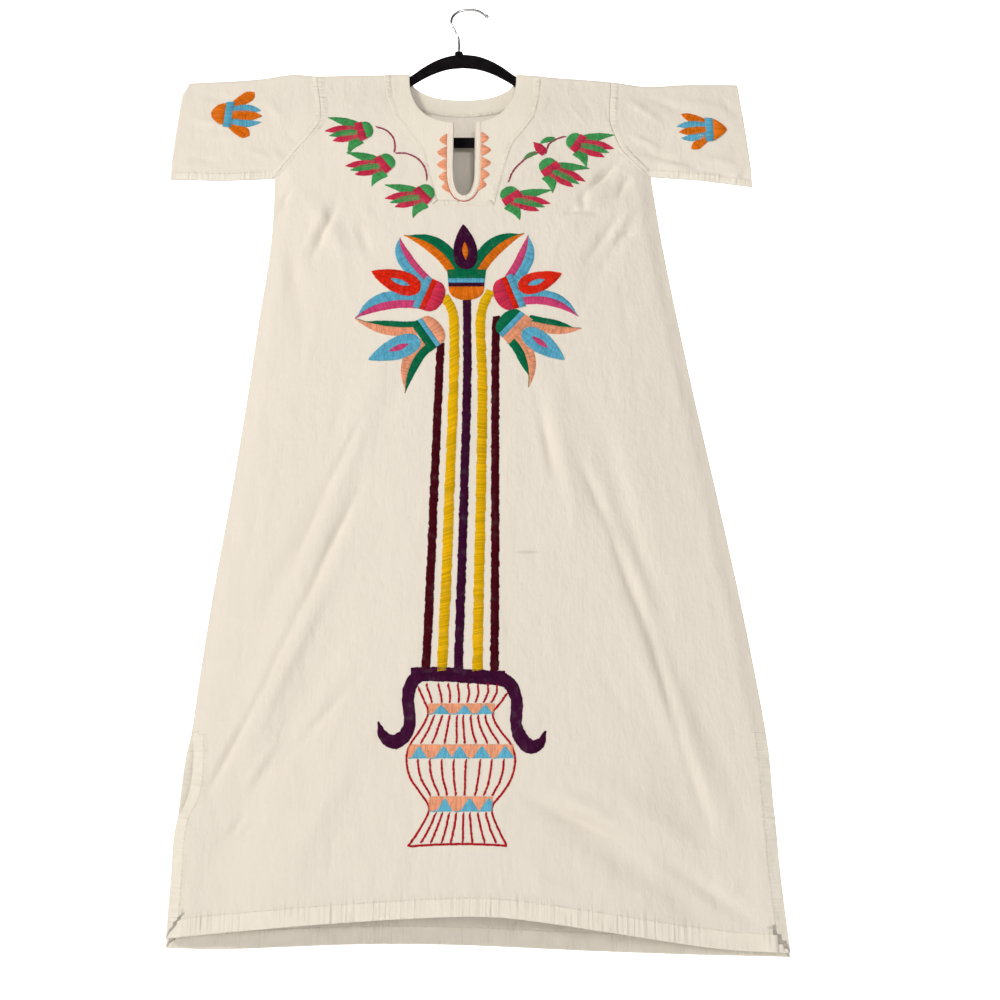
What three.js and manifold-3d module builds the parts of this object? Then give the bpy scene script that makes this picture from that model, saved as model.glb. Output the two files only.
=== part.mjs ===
// A long A-line cotton dress on a flat hanger, in millimetres, +Z up, front towards -Y.
// The dress is cut as a front, a back, two sleeves, an outer neck facing with a bib, an inner back
// neck facing and a binding round the neck slit. Each piece is a cloth wall of its own, and the
// walls lie 0.3 mm apart along the seams. The origin is inside the crown of the hook, where a rail
// carries it, and everything hangs below that point.
import * as THREE from "three";
import { mergeVertices } from "three/addons/utils/BufferGeometryUtils.js";
import Module from "manifold-3d";

const wasm = await Module();
wasm.setup();

// ---------------------------------------------------------------- driving sizes
const CLOTH = 1.5; // wall of one layer of cloth with its seam allowances
const FACING = 1.2; // wall of a facing laid on the cloth
const BINDING = 1.0; // wall of the binding laid on the facing
const SEAM = 0.3; // gap between two pieces at a seam
const HEM_WIDTH = 22; // depth of the turned hem
const HEM_EXTRA = 0.9; // extra wall of the turned hem, on its inner side
const DRESS_X = -7; // the dress's middle line, from the crown of the hook

const FOLD_TURN = 5; // height over which the top fold of the cloth turns over
const FOLD_HALF = 4.6; // half width of that turn, so it clears the hanger's arm
const OPEN_BELOW_TOP = 90; // the hollow reaches its depth this far below the shoulder line
const SLEEVE_FLAT = 0.45; // share of the hollow's depth that the sleeves lose
const SLEEVE_FLAT_X = 230; // from here outwards, over SLEEVE_FLAT_WIDTH
const SLEEVE_FLAT_WIDTH = 90;
const SLIT_TOP_Z = -1084; // the side seams end here
const SLIT_GAPE = 3; // half gap between the free edges, well below that point
const GAPE_DROP = 120; // height over which the free edges part
const GAPE_WIDTH = 60; // width over which that gape dies away
const TURN_FADE = 25; // the top fold's turn dies away this close to an edge
const FOLD_FADE = 40; // folds die away this close to an edge or to the shoulder

// The top of the shoulders and of the sleeves' upper folds, on the inner face.
const TOP_LINE = [
  { x: -440, z: -129 },
  { x: -390, z: -126 },
  { x: -334, z: -123 },
  { x: -296, z: -119 },
  { x: -256, z: -112.5 },
  { x: -217, z: -115 },
  { x: -150, z: -113.5 },
  { x: -80, z: -113 },
  { x: 0, z: -113 },
  { x: 80, z: -113 },
  { x: 150, z: -118.5 },
  { x: 223, z: -125 },
  { x: 275, z: -132.5 },
  { x: 335, z: -129.5 },
  { x: 440, z: -130 },
];

// The side seams and, below the slits, the slit edges. The front and the back part at the left slit.
const SIDE_EDGES = [
  { z: -250, backLeft: -278, frontLeft: -278, right: 276 },
  { z: -284, backLeft: -275, frontLeft: -275, right: 277 },
  { z: -320, backLeft: -274, frontLeft: -274, right: 281 },
  { z: -400, backLeft: -276, frontLeft: -276, right: 291 },
  { z: -510, backLeft: -287, frontLeft: -287, right: 308 },
  { z: -630, backLeft: -298, frontLeft: -298, right: 328 },
  { z: -770, backLeft: -313, frontLeft: -313, right: 353 },
  { z: -910, backLeft: -330, frontLeft: -330, right: 377 },
  { z: -1045, backLeft: -343, frontLeft: -343, right: 397 },
  { z: -1086, backLeft: -347, frontLeft: -345, right: 402 },
  { z: -1120, backLeft: -353, frontLeft: -342, right: 405 },
  { z: -1165, backLeft: -357, frontLeft: -345, right: 406 },
  { z: -1203, backLeft: -359, frontLeft: -359, right: 408 },
  { z: -1270, backLeft: -361, frontLeft: -361, right: 411 },
  { z: -1370, backLeft: -364, frontLeft: -363, right: 419 },
];

// The hem lines. The front one rises in the middle and the back one is nearly straight.
const FRONT_HEM = [
  { x: -380, z: -1342 },
  { x: -280, z: -1332 },
  { x: -150, z: -1321 },
  { x: 0, z: -1313 },
  { x: 70, z: -1315 },
  { x: 200, z: -1333 },
  { x: 330, z: -1352 },
  { x: 430, z: -1358 },
];
const BACK_HEM = [
  { x: -380, z: -1351 },
  { x: -300, z: -1354 },
  { x: -120, z: -1349 },
  { x: 0, z: -1350 },
  { x: 200, z: -1358 },
  { x: 430, z: -1363 },
];

// Half depth of the hollow body at the middle of its width.
const HALF_DEPTH = [
  { z: -100, front: 10, back: 9 },
  { z: -284, front: 12, back: 10 },
  { z: -600, front: 16, back: 13 },
  { z: -900, front: 20, back: 16 },
  { z: -1370, front: 26, back: 21 },
];

// The seam that joins body and sleeve, from the shoulder down to the underarm.
const ARMHOLE = [
  { z: -90, left: -218, right: 222 },
  { z: -122, left: -217, right: 222 },
  { z: -190, left: -209, right: 218 },
  { z: -213, left: -220, right: 223 },
  { z: -245, left: -246, right: 238 },
  { z: -284, left: -275.6, right: 277.6 },
  { z: -310, left: -296, right: 300 },
];

// The lower folds of the sleeves, and the cuff lines that end them.
const SLEEVES = {
  left: { sign: -1, foldZ: [-284, -287, -285], cuffTopX: 416, cuffBottomX: 428 },
  right: { sign: 1, foldZ: [-281, -287, -298], cuffTopX: 410, cuffBottomX: 425 },
};
const UNDERARM_X = 275;
const UNDERARM_Z = -284;
const SLEEVE_END_X = 428;

// Folds of the cloth, from their upper to their lower end. A positive height stands out.
const FRONT_FOLDS = [
  { x0: -70, z0: -470, x1: -255, z1: -1010, width: 17, height: 5 },
  { x0: -105, z0: -600, x1: -300, z1: -1020, width: 13, height: -4 },
  { x0: -110, z0: -760, x1: -345, z1: -1200, width: 17, height: 6 },
  { x0: -120, z0: -900, x1: -330, z1: -1290, width: 19, height: -5 },
  { x0: -95, z0: -1050, x1: -250, z1: -1325, width: 18, height: 4 },
  { x0: 110, z0: -520, x1: 170, z1: -900, width: 17, height: 4 },
  { x0: 170, z0: -590, x1: 300, z1: -1060, width: 18, height: -5 },
  { x0: 190, z0: -860, x1: 385, z1: -1300, width: 19, height: 6 },
  { x0: 80, z0: -1165, x1: 350, z1: -1330, width: 17, height: -6 },
  { x0: 120, z0: -1120, x1: 370, z1: -1270, width: 17, height: 4 },
  { x0: 238, z0: -285, x1: 110, z1: -405, width: 12, height: 4 },
  { x0: 255, z0: -320, x1: 165, z1: -500, width: 14, height: -4 },
  { x0: -238, z0: -300, x1: -150, z1: -430, width: 13, height: 4 },
  { x0: -262, z0: -330, x1: -215, z1: -560, width: 13, height: -4 },
  { x0: 300, z0: -262, x1: 352, z1: -280, width: 6, height: 3 },
  { x0: -400, z0: -215, x1: -300, z1: -225, width: 9, height: 2 },
  { x0: 300, z0: -160, x1: 400, z1: -172, width: 10, height: 2 },
];
const BACK_FOLDS = [
  { x0: -60, z0: -260, x1: -150, z1: -1180, width: 22, height: 5 },
  { x0: 70, z0: -280, x1: 190, z1: -1220, width: 24, height: 6 },
  { x0: -150, z0: -380, x1: -280, z1: -1240, width: 20, height: -5 },
  { x0: 160, z0: -420, x1: 315, z1: -1200, width: 20, height: -5 },
  { x0: 5, z0: -420, x1: 25, z1: -1300, width: 24, height: -5 },
  { x0: 245, z0: -300, x1: 175, z1: -470, width: 13, height: 4 },
  { x0: -240, z0: -305, x1: -180, z1: -470, width: 13, height: 4 },
];

// Neck: the opening of the front, that of the back, the slit and the facing round them.
const NECK_HALF = 80; // half width at the shoulder
const FRONT_NECK_Z = -202; // lowest part of the round front neck
const BACK_NECK_Z = -149; // lowest part of the back neck
const FRONT_NECK_POWER = 2.6; // power of the front's superellipse: 2 is an ellipse
const BACK_NECK_POWER = 2.3;
const SLIT_X = 3; // middle of the slit and its bib, right of the dress's middle line
const SLIT_HALF = 16.5; // half width of the slit at its top
const SLIT_BOTTOM_Z = -321;
const SLIT_BEND = 42; // height of its round end
const SLIT_ROUNDING = 0.9; // power that fills that end out from an ellipse
const BINDING_WIDTH = 8; // width of the binding round the slit
const BACK_FACING_WIDTH = 26;
const BACK_FACING_DROP = 6; // it ends this far below the shoulder line
const SLIT_RIM_TOP = -150; // above the neck's lowest part, where the binding starts

// Hanger: a flat plate whose arms run down to round ends and back along a level bar. Each row of
// the loop is a point of its outer and of its inner outline, from the top middle to the bar.
const HANGER_THICK = 5;
const HANGER_LOOP = [
  { x: 0, z: -76, innerX: 0, innerZ: -99 },
  { x: 20, z: -78.5, innerX: 20, innerZ: -101 },
  { x: 40, z: -86, innerX: 40, innerZ: -107.5 },
  { x: 60, z: -98.5, innerX: 60, innerZ: -118 },
  { x: 80, z: -114.1, innerX: 80, innerZ: -131 },
  { x: 130, z: -139, innerX: 130, innerZ: -155 },
  { x: 170, z: -156, innerX: 168, innerZ: -171.5 },
  { x: 200, z: -167, innerX: 190, innerZ: -180 },
  { x: 214, z: -174, innerX: 196, innerZ: -185 },
  { x: 216, z: -184, innerX: 194, innerZ: -191 },
  { x: 206, z: -200, innerX: 180, innerZ: -205 },
  { x: 186, z: -219, innerX: 168, innerZ: -213 },
  { x: 164, z: -231, innerX: 154, innerZ: -216 },
  { x: 148, z: -233, innerX: 146, innerZ: -216.5 },
];
const COLLAR = { half: 6, top: -71 }; // boss that takes the hook's stem
const WIRE = 4; // diameter of the hook's wire
const HOOK_TIP_RADIUS = 3.2;
// Centre line of the wire from the stem to the tip.
const HOOK_LINE = [
  { x: -13.5, z: -70.7 },
  { x: -13.5, z: -58 },
  { x: -15, z: -45 },
  { x: -20.5, z: -33 },
  { x: -25, z: -23 },
  { x: -24, z: -11 },
  { x: -14.5, z: -1.5 },
  { x: 0, z: 2 },
  { x: 15, z: 0 },
  { x: 27, z: -8 },
];

// ---------------------------------------------------------------- curves through tables
const clamp01 = (t) => Math.min(1, Math.max(0, t));
const ease = (t) => clamp01(t) ** 2 * (3 - 2 * clamp01(t));

// A smooth curve through one column of a table, by the table's first column. Slopes at the rows
// are those of their neighbours, so the curve passes every row with no corner.
function curve(rows, at, column) {
  const xs = rows.map((row) => row[at]);
  const turn = xs[0] > xs[1] ? -1 : 1;
  const slope = (i) => {
    const before = rows[Math.max(0, i - 1)];
    const after = rows[Math.min(rows.length - 1, i + 1)];
    return (after[column] - before[column]) / (after[at] - before[at]);
  };
  return (value) => {
    let i = 0;
    while (i < rows.length - 2 && turn * value > turn * xs[i + 1]) i++;
    const step = xs[i + 1] - xs[i];
    const t = clamp01((value - xs[i]) / step);
    const [a, b] = [rows[i][column], rows[i + 1][column]];
    const rise = t * t * (3 - 2 * t);
    const tangents = (t ** 3 - 2 * t * t + t) * slope(i) + (t ** 3 - t * t) * slope(i + 1);
    return a + (b - a) * rise + tangents * step;
  };
}

const topLine = curve(TOP_LINE, "x", "z");
const rightEdge = curve(SIDE_EDGES, "z", "right");

// Each side of the garment: sign of its Y, its hem, its left edge, its depth and its folds.
const SIDES = {
  front: {
    sign: -1,
    hem: curve(FRONT_HEM, "x", "z"),
    leftEdge: curve(SIDE_EDGES, "z", "frontLeft"),
    depth: curve(HALF_DEPTH, "z", "front"),
    folds: FRONT_FOLDS,
  },
  back: {
    sign: 1,
    hem: curve(BACK_HEM, "x", "z"),
    leftEdge: curve(SIDE_EDGES, "z", "backLeft"),
    depth: curve(HALF_DEPTH, "z", "back"),
    folds: BACK_FOLDS,
  },
};

// Height of a sleeve's lower fold at x, from the underarm to the cuff.
function sleeveFold(sleeve, x) {
  const t = (Math.abs(x) - UNDERARM_X) / (SLEEVE_END_X - UNDERARM_X);
  const [a, b, c] = sleeve.foldZ;
  return t < 0.5 ? a + (b - a) * 2 * t : b + (c - b) * (2 * t - 1);
}

// ---------------------------------------------------------------- the shape of the worn cloth
// Distance from a closed edge: the side seam below the underarm, the sleeve's lower fold beyond
// it, and the underarm point itself above both.
function edgeDistance(side, x, z) {
  const sleeve = x < 0 ? SLEEVES.left : SLEEVES.right;
  const underarmZ = sleeve.foldZ[0];
  const out = Math.abs(x) - UNDERARM_X;
  if (z < underarmZ) return x < 0 ? x - side.leftEdge(z) : rightEdge(z) - x;
  if (out > 0) return z - sleeveFold(sleeve, x);
  return Math.hypot(out, z - underarmZ);
}

// A fold is a long soft ridge: a bell across its line, rising and falling along it.
function foldHeight(folds, x, z) {
  let sum = 0;
  for (const { x0, z0, x1, z1, width, height } of folds) {
    const [dx, dz] = [x1 - x0, z1 - z0];
    const length = Math.hypot(dx, dz);
    const along = ((x - x0) * dx + (z - z0) * dz) / (length * length);
    const across = ((x - x0) * dz - (z - z0) * dx) / length;
    if (along < 0 || along > 1) continue;
    sum += height * Math.sin(Math.PI * along) ** 2 * Math.exp(-((across / width) ** 2));
  }
  return sum;
}

// How far the inner face lies from the middle plane. It is the turn of the top fold, plus a lens
// that opens from the closed edges to the middle, plus the folds and the gape of the slits.
function innerDepth(side, x, z) {
  const below = Math.max(0, topLine(x) - z);
  const edge = Math.max(0, edgeDistance(side, x, z));
  const level = Math.min(z, UNDERARM_Z);
  const half = (rightEdge(level) - side.leftEdge(level)) / 2;
  const turn = 1 - Math.min(1, below / FOLD_TURN);
  const round = FOLD_HALF * Math.sqrt(1 - turn * turn) * ease(edge / TURN_FADE);
  const share = Math.min(1, edge / half);
  const flat = 1 - SLEEVE_FLAT * ease((Math.abs(x) - SLEEVE_FLAT_X) / SLEEVE_FLAT_WIDTH);
  const lens = side.depth(z) * flat * share * (2 - share) * ease(below / OPEN_BELOW_TOP);
  const folds = foldHeight(side.folds, x, z) * ease(edge / FOLD_FADE) * ease(below / FOLD_FADE);
  const gape = SLIT_GAPE * ease((SLIT_TOP_Z - z) / GAPE_DROP) * (1 - ease(edge / GAPE_WIDTH));
  return SEAM / 2 + round + lens + folds + gape;
}

// Rows below the top line are spaced by w. Up to TURN_ROW their depth is w squared over TURN_ROW,
// so that the round turn of the fold is sampled evenly. Then it goes on in a straight line.
const TURN_ROW = 10;
const depthOfRow = (w) => (w < TURN_ROW ? (w * w) / TURN_ROW : TURN_ROW + 2 * (w - TURN_ROW));
const rowOfDepth = (depth) => TURN_ROW + (depth - TURN_ROW) / 2; // below the turn

// The inner face at x and row w.
function innerPoint(side, x, w) {
  const z = topLine(x) - depthOfRow(w);
  return new THREE.Vector3(x, side.sign * innerDepth(side, x, z), z);
}

// The direction out of the cloth at x and row w, from two short steps along the inner face.
const NORMAL_STEP = 0.02;
function outward(side, x, w) {
  const p = innerPoint(side, x, w);
  const across = innerPoint(side, x + NORMAL_STEP, w).sub(p);
  const down = innerPoint(side, x, w + NORMAL_STEP).sub(p);
  return across.cross(down).multiplyScalar(side.sign).normalize();
}

// ---------------------------------------------------------------- meshes from grids
// A closed wall between two grids of points that have the same rows and columns. `around` joins
// the last row to the first, which makes a tube of it.
function wallGeometry(inner, outer, around = false) {
  const rows = inner.length;
  const columns = inner[0].length;
  const points = [...inner.flat(), ...outer.flat()];
  const position = new Float32Array(points.flatMap((p) => [p.x, p.y, p.z]));
  const at = (layer, i, j) => layer * rows * columns + (i % rows) * columns + j;
  const index = [];
  const quad = (a, b, c, d) => index.push(a, b, c, a, c, d);
  const lastRow = around ? rows : rows - 1;
  for (let i = 0; i < lastRow; i++)
    for (let j = 0; j < columns - 1; j++) {
      quad(at(1, i, j), at(1, i, j + 1), at(1, i + 1, j + 1), at(1, i + 1, j));
      quad(at(0, i, j), at(0, i + 1, j), at(0, i + 1, j + 1), at(0, i, j + 1));
    }
  for (let i = 0; i < lastRow; i++) {
    quad(at(0, i, 0), at(1, i, 0), at(1, i + 1, 0), at(0, i + 1, 0));
    const j = columns - 1;
    quad(at(0, i, j), at(0, i + 1, j), at(1, i + 1, j), at(1, i, j));
  }
  if (!around)
    for (let j = 0; j < columns - 1; j++) {
      quad(at(0, 0, j), at(0, 0, j + 1), at(1, 0, j + 1), at(1, 0, j));
      const i = rows - 1;
      quad(at(0, i, j), at(1, i, j), at(1, i, j + 1), at(0, i, j + 1));
    }
  const geometry = new THREE.BufferGeometry();
  geometry.setAttribute("position", new THREE.BufferAttribute(position, 3));
  geometry.setIndex(index);
  return geometry;
}

// A geometry as a solid that can be cut. One that came out inside out is turned round.
function solidOf(geometry) {
  const bare = geometry.clone();
  for (const name of Object.keys(bare.attributes)) if (name !== "position") bare.deleteAttribute(name);
  const merged = mergeVertices(bare, 1e-4);
  const triVerts = new Uint32Array(merged.index.array);
  const vertProperties = merged.attributes.position.array;
  const mesh = () => new wasm.Mesh({ numProp: 3, vertProperties, triVerts });
  const solid = new wasm.Manifold(mesh());
  if (solid.volume() > 0) return solid;
  for (let i = 0; i < triVerts.length; i += 3)
    [triVerts[i + 1], triVerts[i + 2]] = [triVerts[i + 2], triVerts[i + 1]];
  return new wasm.Manifold(mesh());
}

function geometryOf(solid) {
  const mesh = solid.getMesh();
  const geometry = new THREE.BufferGeometry();
  geometry.setAttribute("position", new THREE.BufferAttribute(mesh.vertProperties, 3));
  geometry.setIndex(new THREE.BufferAttribute(mesh.triVerts, 1));
  return geometry;
}

// A prism through the whole garment, from an outline of [x, z] points, to trim pieces with.
const PRISM_DEPTH = 200;
function prism(outline) {
  const shape = new THREE.Shape(outline.map(([x, z]) => new THREE.Vector2(x, z)));
  const geometry = new THREE.ExtrudeGeometry(shape, { depth: PRISM_DEPTH, bevelEnabled: false });
  geometry.rotateX(Math.PI / 2).translate(0, PRISM_DEPTH / 2, 0);
  return solidOf(geometry);
}

// ---------------------------------------------------------------- outlines in the front plane
const steps = (from, to, count) =>
  Array.from({ length: count + 1 }, (_, i) => from + ((to - from) * i) / count);

// The round neck is half of a superellipse, from shoulder to shoulder, `grow` wider and lower.
function neckCurve(lowZ, grow, count, power) {
  const high = topLine(0) + 4;
  return steps(Math.PI, 2 * Math.PI, count).map((a) => {
    const round = (v) => Math.sign(v) * Math.abs(v) ** (2 / power);
    return [(NECK_HALF + grow) * round(Math.cos(a)), high + (high - lowZ + grow) * round(Math.sin(a))];
  });
}

// The slit's lower end is a long U, `grow` wider all round.
function slitCurve(grow, count) {
  const half = SLIT_HALF + grow;
  const bend = SLIT_BOTTOM_Z + SLIT_BEND;
  return steps(Math.PI, 2 * Math.PI, count).map((a) => {
    const round = (v) => Math.sign(v) * Math.abs(v) ** SLIT_ROUNDING;
    const x = SLIT_X + half * round(Math.cos(a));
    return [x, bend + (bend - SLIT_BOTTOM_Z + grow) * round(Math.sin(a))];
  });
}

// Levels and a half width that lie clear of the whole garment, for the trimming outlines.
const ABOVE = -60;
const BELOW = -1450;
const BESIDE = 500;
const UNDER_SLEEVE = -320;
const neckPrism = (lowZ, count, power) =>
  prism([[-NECK_HALF, ABOVE], ...neckCurve(lowZ, 0, count, power), [NECK_HALF, ABOVE]]);
const frontNeck = neckPrism(FRONT_NECK_Z, 28, FRONT_NECK_POWER);
const backNeck = neckPrism(BACK_NECK_Z, 24, BACK_NECK_POWER);
// The slit's outline, open at its top inside the neck.
const slitOutline = (grow) => {
  const half = SLIT_HALF + grow;
  return [[SLIT_X - half, SLIT_RIM_TOP], ...slitCurve(grow, 18), [SLIT_X + half, SLIT_RIM_TOP]];
};
const slit = prism(slitOutline(0));

// The body is trimmed by its armholes alone: its sides and hem are the edges of its own grid.
const ARMHOLE_ROWS = [ABOVE, -122, -150, -175, -190, -200, -213, -228, -245, -264, UNDERARM_Z];
const armholePoints = (column, shift) =>
  ARMHOLE_ROWS.map((z) => [curve(ARMHOLE, "z", column)(z) + shift, z]);
const armholeEnd = { x: 300, z: -310 }; // just past the underarm
const bodyTrim = prism([
  ...armholePoints("left", 0),
  [-armholeEnd.x, armholeEnd.z],
  [-BESIDE, UNDER_SLEEVE - 80],
  [-BESIDE, BELOW],
  [BESIDE, BELOW],
  [BESIDE, UNDER_SLEEVE - 80],
  [armholeEnd.x, armholeEnd.z],
  ...armholePoints("right", 0).reverse(),
]);

// A sleeve is trimmed a seam's gap outside the armhole.
function sleeveTrim(sleeve) {
  const column = sleeve.sign < 0 ? "left" : "right";
  const points = armholePoints(column, sleeve.sign * SEAM);
  const [lastX] = points[points.length - 1];
  const outer = sleeve.sign * BESIDE;
  const outline = [...points, [lastX, UNDER_SLEEVE], [outer, UNDER_SLEEVE], [outer, ABOVE]];
  return prism(sleeve.sign < 0 ? outline : outline.reverse());
}

// ---------------------------------------------------------------- cloth pieces
// Rows of the body's grid: close together over the top fold, even down the body, and a step at
// the turned hem. Each is a function of x, because the hem isn't parallel to the shoulder.
const BODY_ROWS = 30;
const BODY_COLUMNS = 30;
function bodyRows(side) {
  const hemRow = (x) => rowOfDepth(topLine(x) - side.hem(x));
  const even = steps(0, 1, BODY_ROWS).slice(1);
  const lastEven = (x) => hemRow(x) - HEM_WIDTH / 2 - 1;
  return [
    ...[0, 2.5, 5, 7, TURN_ROW].map((w) => ({ at: () => w })),
    ...even.map((share) => ({ at: (x) => TURN_ROW + share * (lastEven(x) - TURN_ROW) })),
    { at: (x) => hemRow(x) - HEM_WIDTH / 2, hem: true },
    { at: hemRow, hem: true },
  ];
}

// A turned hem is full away from the closed edges, where two of them would meet.
const HEM_FADE = { edge: 60, top: 20 };
const hemThickness = (side, x, z) =>
  ease(edgeDistance(side, x, z) / HEM_FADE.edge) * ease((topLine(x) - z) / HEM_FADE.top);

// The place along a row at `share` of the way from the left to the right edge. The edges depend
// on the height, and the height of a row on x, so it is settled in a few rounds.
function placeOnRow(side, row, share) {
  let x = 0;
  for (let round = 0; round < 4; round++) {
    const z = Math.min(topLine(x) - depthOfRow(row.at(x)), UNDERARM_Z);
    x = side.leftEdge(z) + share * (rightEdge(z) - side.leftEdge(z));
  }
  return x;
}

// A wall over the whole body from `from` to `to` outside its inner face.
function bodySheet(side, from, to, hemExtra = 0) {
  const inner = [];
  const outer = [];
  for (const row of bodyRows(side)) {
    const places = steps(0, 1, BODY_COLUMNS).map((share) => placeOnRow(side, row, share));
    const offset = (amount, extra) => (x) => {
      const w = row.at(x);
      const p = innerPoint(side, x, w);
      const thicker = row.hem ? extra * hemThickness(side, x, p.z) : 0;
      return p.addScaledVector(outward(side, x, w), amount - thicker);
    };
    inner.push(places.map(offset(from, hemExtra)));
    outer.push(places.map(offset(to, 0)));
  }
  return solidOf(wallGeometry(inner, outer));
}

const dress = new THREE.Group();
function add(name, solid, color, roughness = 0.9, metalness = 0) {
  const material = new THREE.MeshStandardMaterial({ color, roughness, metalness });
  const mesh = new THREE.Mesh(geometryOf(solid), material);
  mesh.name = name;
  dress.add(mesh);
  return mesh;
}

const CREAM = 0xe9e2d2;
const FACING_CREAM = 0xede4cf;
const BLACK_VELVET = 0x0b0b0c;
const STEEL = 0xb9babc;

function addBody() {
  const front = bodySheet(SIDES.front, 0, CLOTH, HEM_EXTRA).intersect(bodyTrim);
  add("front", front.subtract(frontNeck).subtract(slit), CREAM);
  const back = bodySheet(SIDES.back, 0, CLOTH, HEM_EXTRA).intersect(bodyTrim);
  add("back", back.subtract(backNeck), CREAM);
}

// A sleeve is one tube, flat as it hangs, from the armhole to the cuff. A ring goes up the front,
// over the top fold, down the back and through the lower fold.
const SLEEVE_START_X = 205;
const SLEEVE_COLUMNS = 12;
const CUFF_SHARE = 0.9; // the turned cuff starts here
const SLEEVE_ROWS = [2.5, 5, 7, TURN_ROW, 20, 32, 46, 60, 74, 84]; // the last one is the lower fold
const LAST_SLEEVE_ROW = SLEEVE_ROWS[SLEEVE_ROWS.length - 1];
const CUFF_SLANT = 160; // height over which the cuff line runs from its top to its bottom x
const CREASE_TURN = 0.15; // how much further the lower crease turns out than the wall
function addSleeve(name, sleeve) {
  const cuff = (z) => {
    const t = clamp01((topLine(sleeve.cuffTopX) - z) / CUFF_SLANT);
    return sleeve.cuffTopX + t * (sleeve.cuffBottomX - sleeve.cuffTopX);
  };
  const point = (side, along, w, offset) => {
    let x = sleeve.sign * SLEEVE_START_X;
    let row = w;
    for (let round = 0; round < 4; round++) {
      const lowest = rowOfDepth(topLine(x) - sleeveFold(sleeve, x));
      const share = (w - TURN_ROW) / (LAST_SLEEVE_ROW - TURN_ROW);
      row = w <= TURN_ROW ? w : TURN_ROW + share * (lowest - TURN_ROW);
      const end = cuff(topLine(x) - depthOfRow(row));
      x = sleeve.sign * (SLEEVE_START_X + along * (end - SLEEVE_START_X));
    }
    const p = innerPoint(side, x, row);
    const thicker = along > CUFF_SHARE ? HEM_EXTRA * hemThickness(side, x, p.z) : 0;
    return p.addScaledVector(outward(side, x, row), offset > 0 ? offset : -thicker);
  };
  const crease = (w, offset) => (along) => {
    const p = point(SIDES.front, along, w, 0);
    p.y = 0;
    p.z += offset;
    return p;
  };
  const places = [...steps(0, CUFF_SHARE, SLEEVE_COLUMNS), CUFF_SHARE + 0.01, 1];
  const layer = (offset) => {
    const face = (side) => (w) => places.map((along) => point(side, along, w, offset));
    return [
      ...SLEEVE_ROWS.map(face(SIDES.front)).reverse(),
      places.map(crease(0, offset)),
      ...SLEEVE_ROWS.map(face(SIDES.back)),
      places.map(crease(LAST_SLEEVE_ROW, -offset - CREASE_TURN)),
    ];
  };
  const tube = solidOf(wallGeometry(layer(0), layer(CLOTH), true));
  add(name, tube.intersect(sleeveTrim(sleeve)), CREAM);
}

// The outer facing follows the neck and ends in a bib round the slit.
const FACING_EDGE = [
  [116, ABOVE],
  [116, -126],
  [112, -157],
  [103, -190],
  [87, -214],
  [72, -233],
  [64, -254],
  [54.5, -292],
  [44, -336],
];
function addFacings() {
  const middle = (z) => SLIT_X * ease((-120 - z) / 90);
  const edge = (sign) => FACING_EDGE.map(([x, z]) => [middle(z) + sign * x, z]);
  const outline = prism([...edge(-1), ...edge(1).reverse()]);
  const band = bodySheet(SIDES.front, CLOTH + SEAM, CLOTH + SEAM + FACING);
  add("neck_facing", band.intersect(outline).subtract(frontNeck).subtract(slit), FACING_CREAM);

  const low = CLOTH + SEAM + FACING + SEAM;
  const rim = bodySheet(SIDES.front, low, low + BINDING).intersect(prism(slitOutline(BINDING_WIDTH)));
  add("slit_binding", rim.subtract(frontNeck).subtract(slit), FACING_CREAM);

  const ring = neckCurve(BACK_NECK_Z, BACK_FACING_WIDTH, 24, BACK_NECK_POWER);
  const under = ring.filter(([, z]) => z < topLine(0) - BACK_FACING_DROP);
  const lining = bodySheet(SIDES.back, -SEAM - FACING, -SEAM).intersect(prism(under));
  add("back_neck_facing", lining.subtract(backNeck), FACING_CREAM);
}

// The hanger is one plate, cut as a loop. The hook is a bent wire with a round tip.
function addHanger() {
  const right = HANGER_LOOP.map(({ x, z }) => [x, z]);
  const left = right.slice(1).map(([x, z]) => [-x, z]).reverse();
  const { half, top } = COLLAR;
  const collarX = HOOK_LINE[0].x - DRESS_X;
  const outline = [...left, ...right].map(([x, z]) => new THREE.Vector2(x, z));
  const shape = new THREE.Shape(outline);
  const innerRight = HANGER_LOOP.map(({ innerX, innerZ }) => [innerX, innerZ]);
  const innerLeft = innerRight.slice(1).map(([x, z]) => [-x, z]).reverse();
  const hole = [...innerLeft, ...innerRight].reverse();
  shape.holes.push(new THREE.Path(hole.map(([x, z]) => new THREE.Vector2(x, z))));
  const settings = { depth: HANGER_THICK, bevelEnabled: false };
  const plate = new THREE.ExtrudeGeometry(shape, settings);
  plate.rotateX(Math.PI / 2).translate(0, HANGER_THICK / 2, 0);
  const height = top - HANGER_LOOP[0].z + 6;
  const boss = new THREE.BoxGeometry(2 * half, HANGER_THICK, height);
  boss.translate(collarX, 0, top - height / 2);
  add("hanger", solidOf(plate).add(solidOf(boss)), BLACK_VELVET, 0.95);

  const line = new THREE.CatmullRomCurve3(HOOK_LINE.map(({ x, z }) => new THREE.Vector3(x - DRESS_X, 0, z)));
  const ring = steps(0, 2 * Math.PI, 10).slice(1);
  const section = new THREE.Shape(
    ring.map((a) => new THREE.Vector2((WIRE / 2) * Math.cos(a), (WIRE / 2) * Math.sin(a))),
  );
  const wire = new THREE.ExtrudeGeometry(section, { steps: 30, extrudePath: line });
  const tip = new THREE.IcosahedronGeometry(HOOK_TIP_RADIUS, 1);
  const last = HOOK_LINE[HOOK_LINE.length - 1];
  tip.translate(last.x - DRESS_X, 0, last.z);
  add("hook", solidOf(wire).add(solidOf(tip)), STEEL, 0.25, 1);
}

addBody();
addSleeve("sleeve_left", SLEEVES.left);
addSleeve("sleeve_right", SLEEVES.right);
addFacings();
addHanger();
dress.position.x = DRESS_X;

export default dress;
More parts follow.
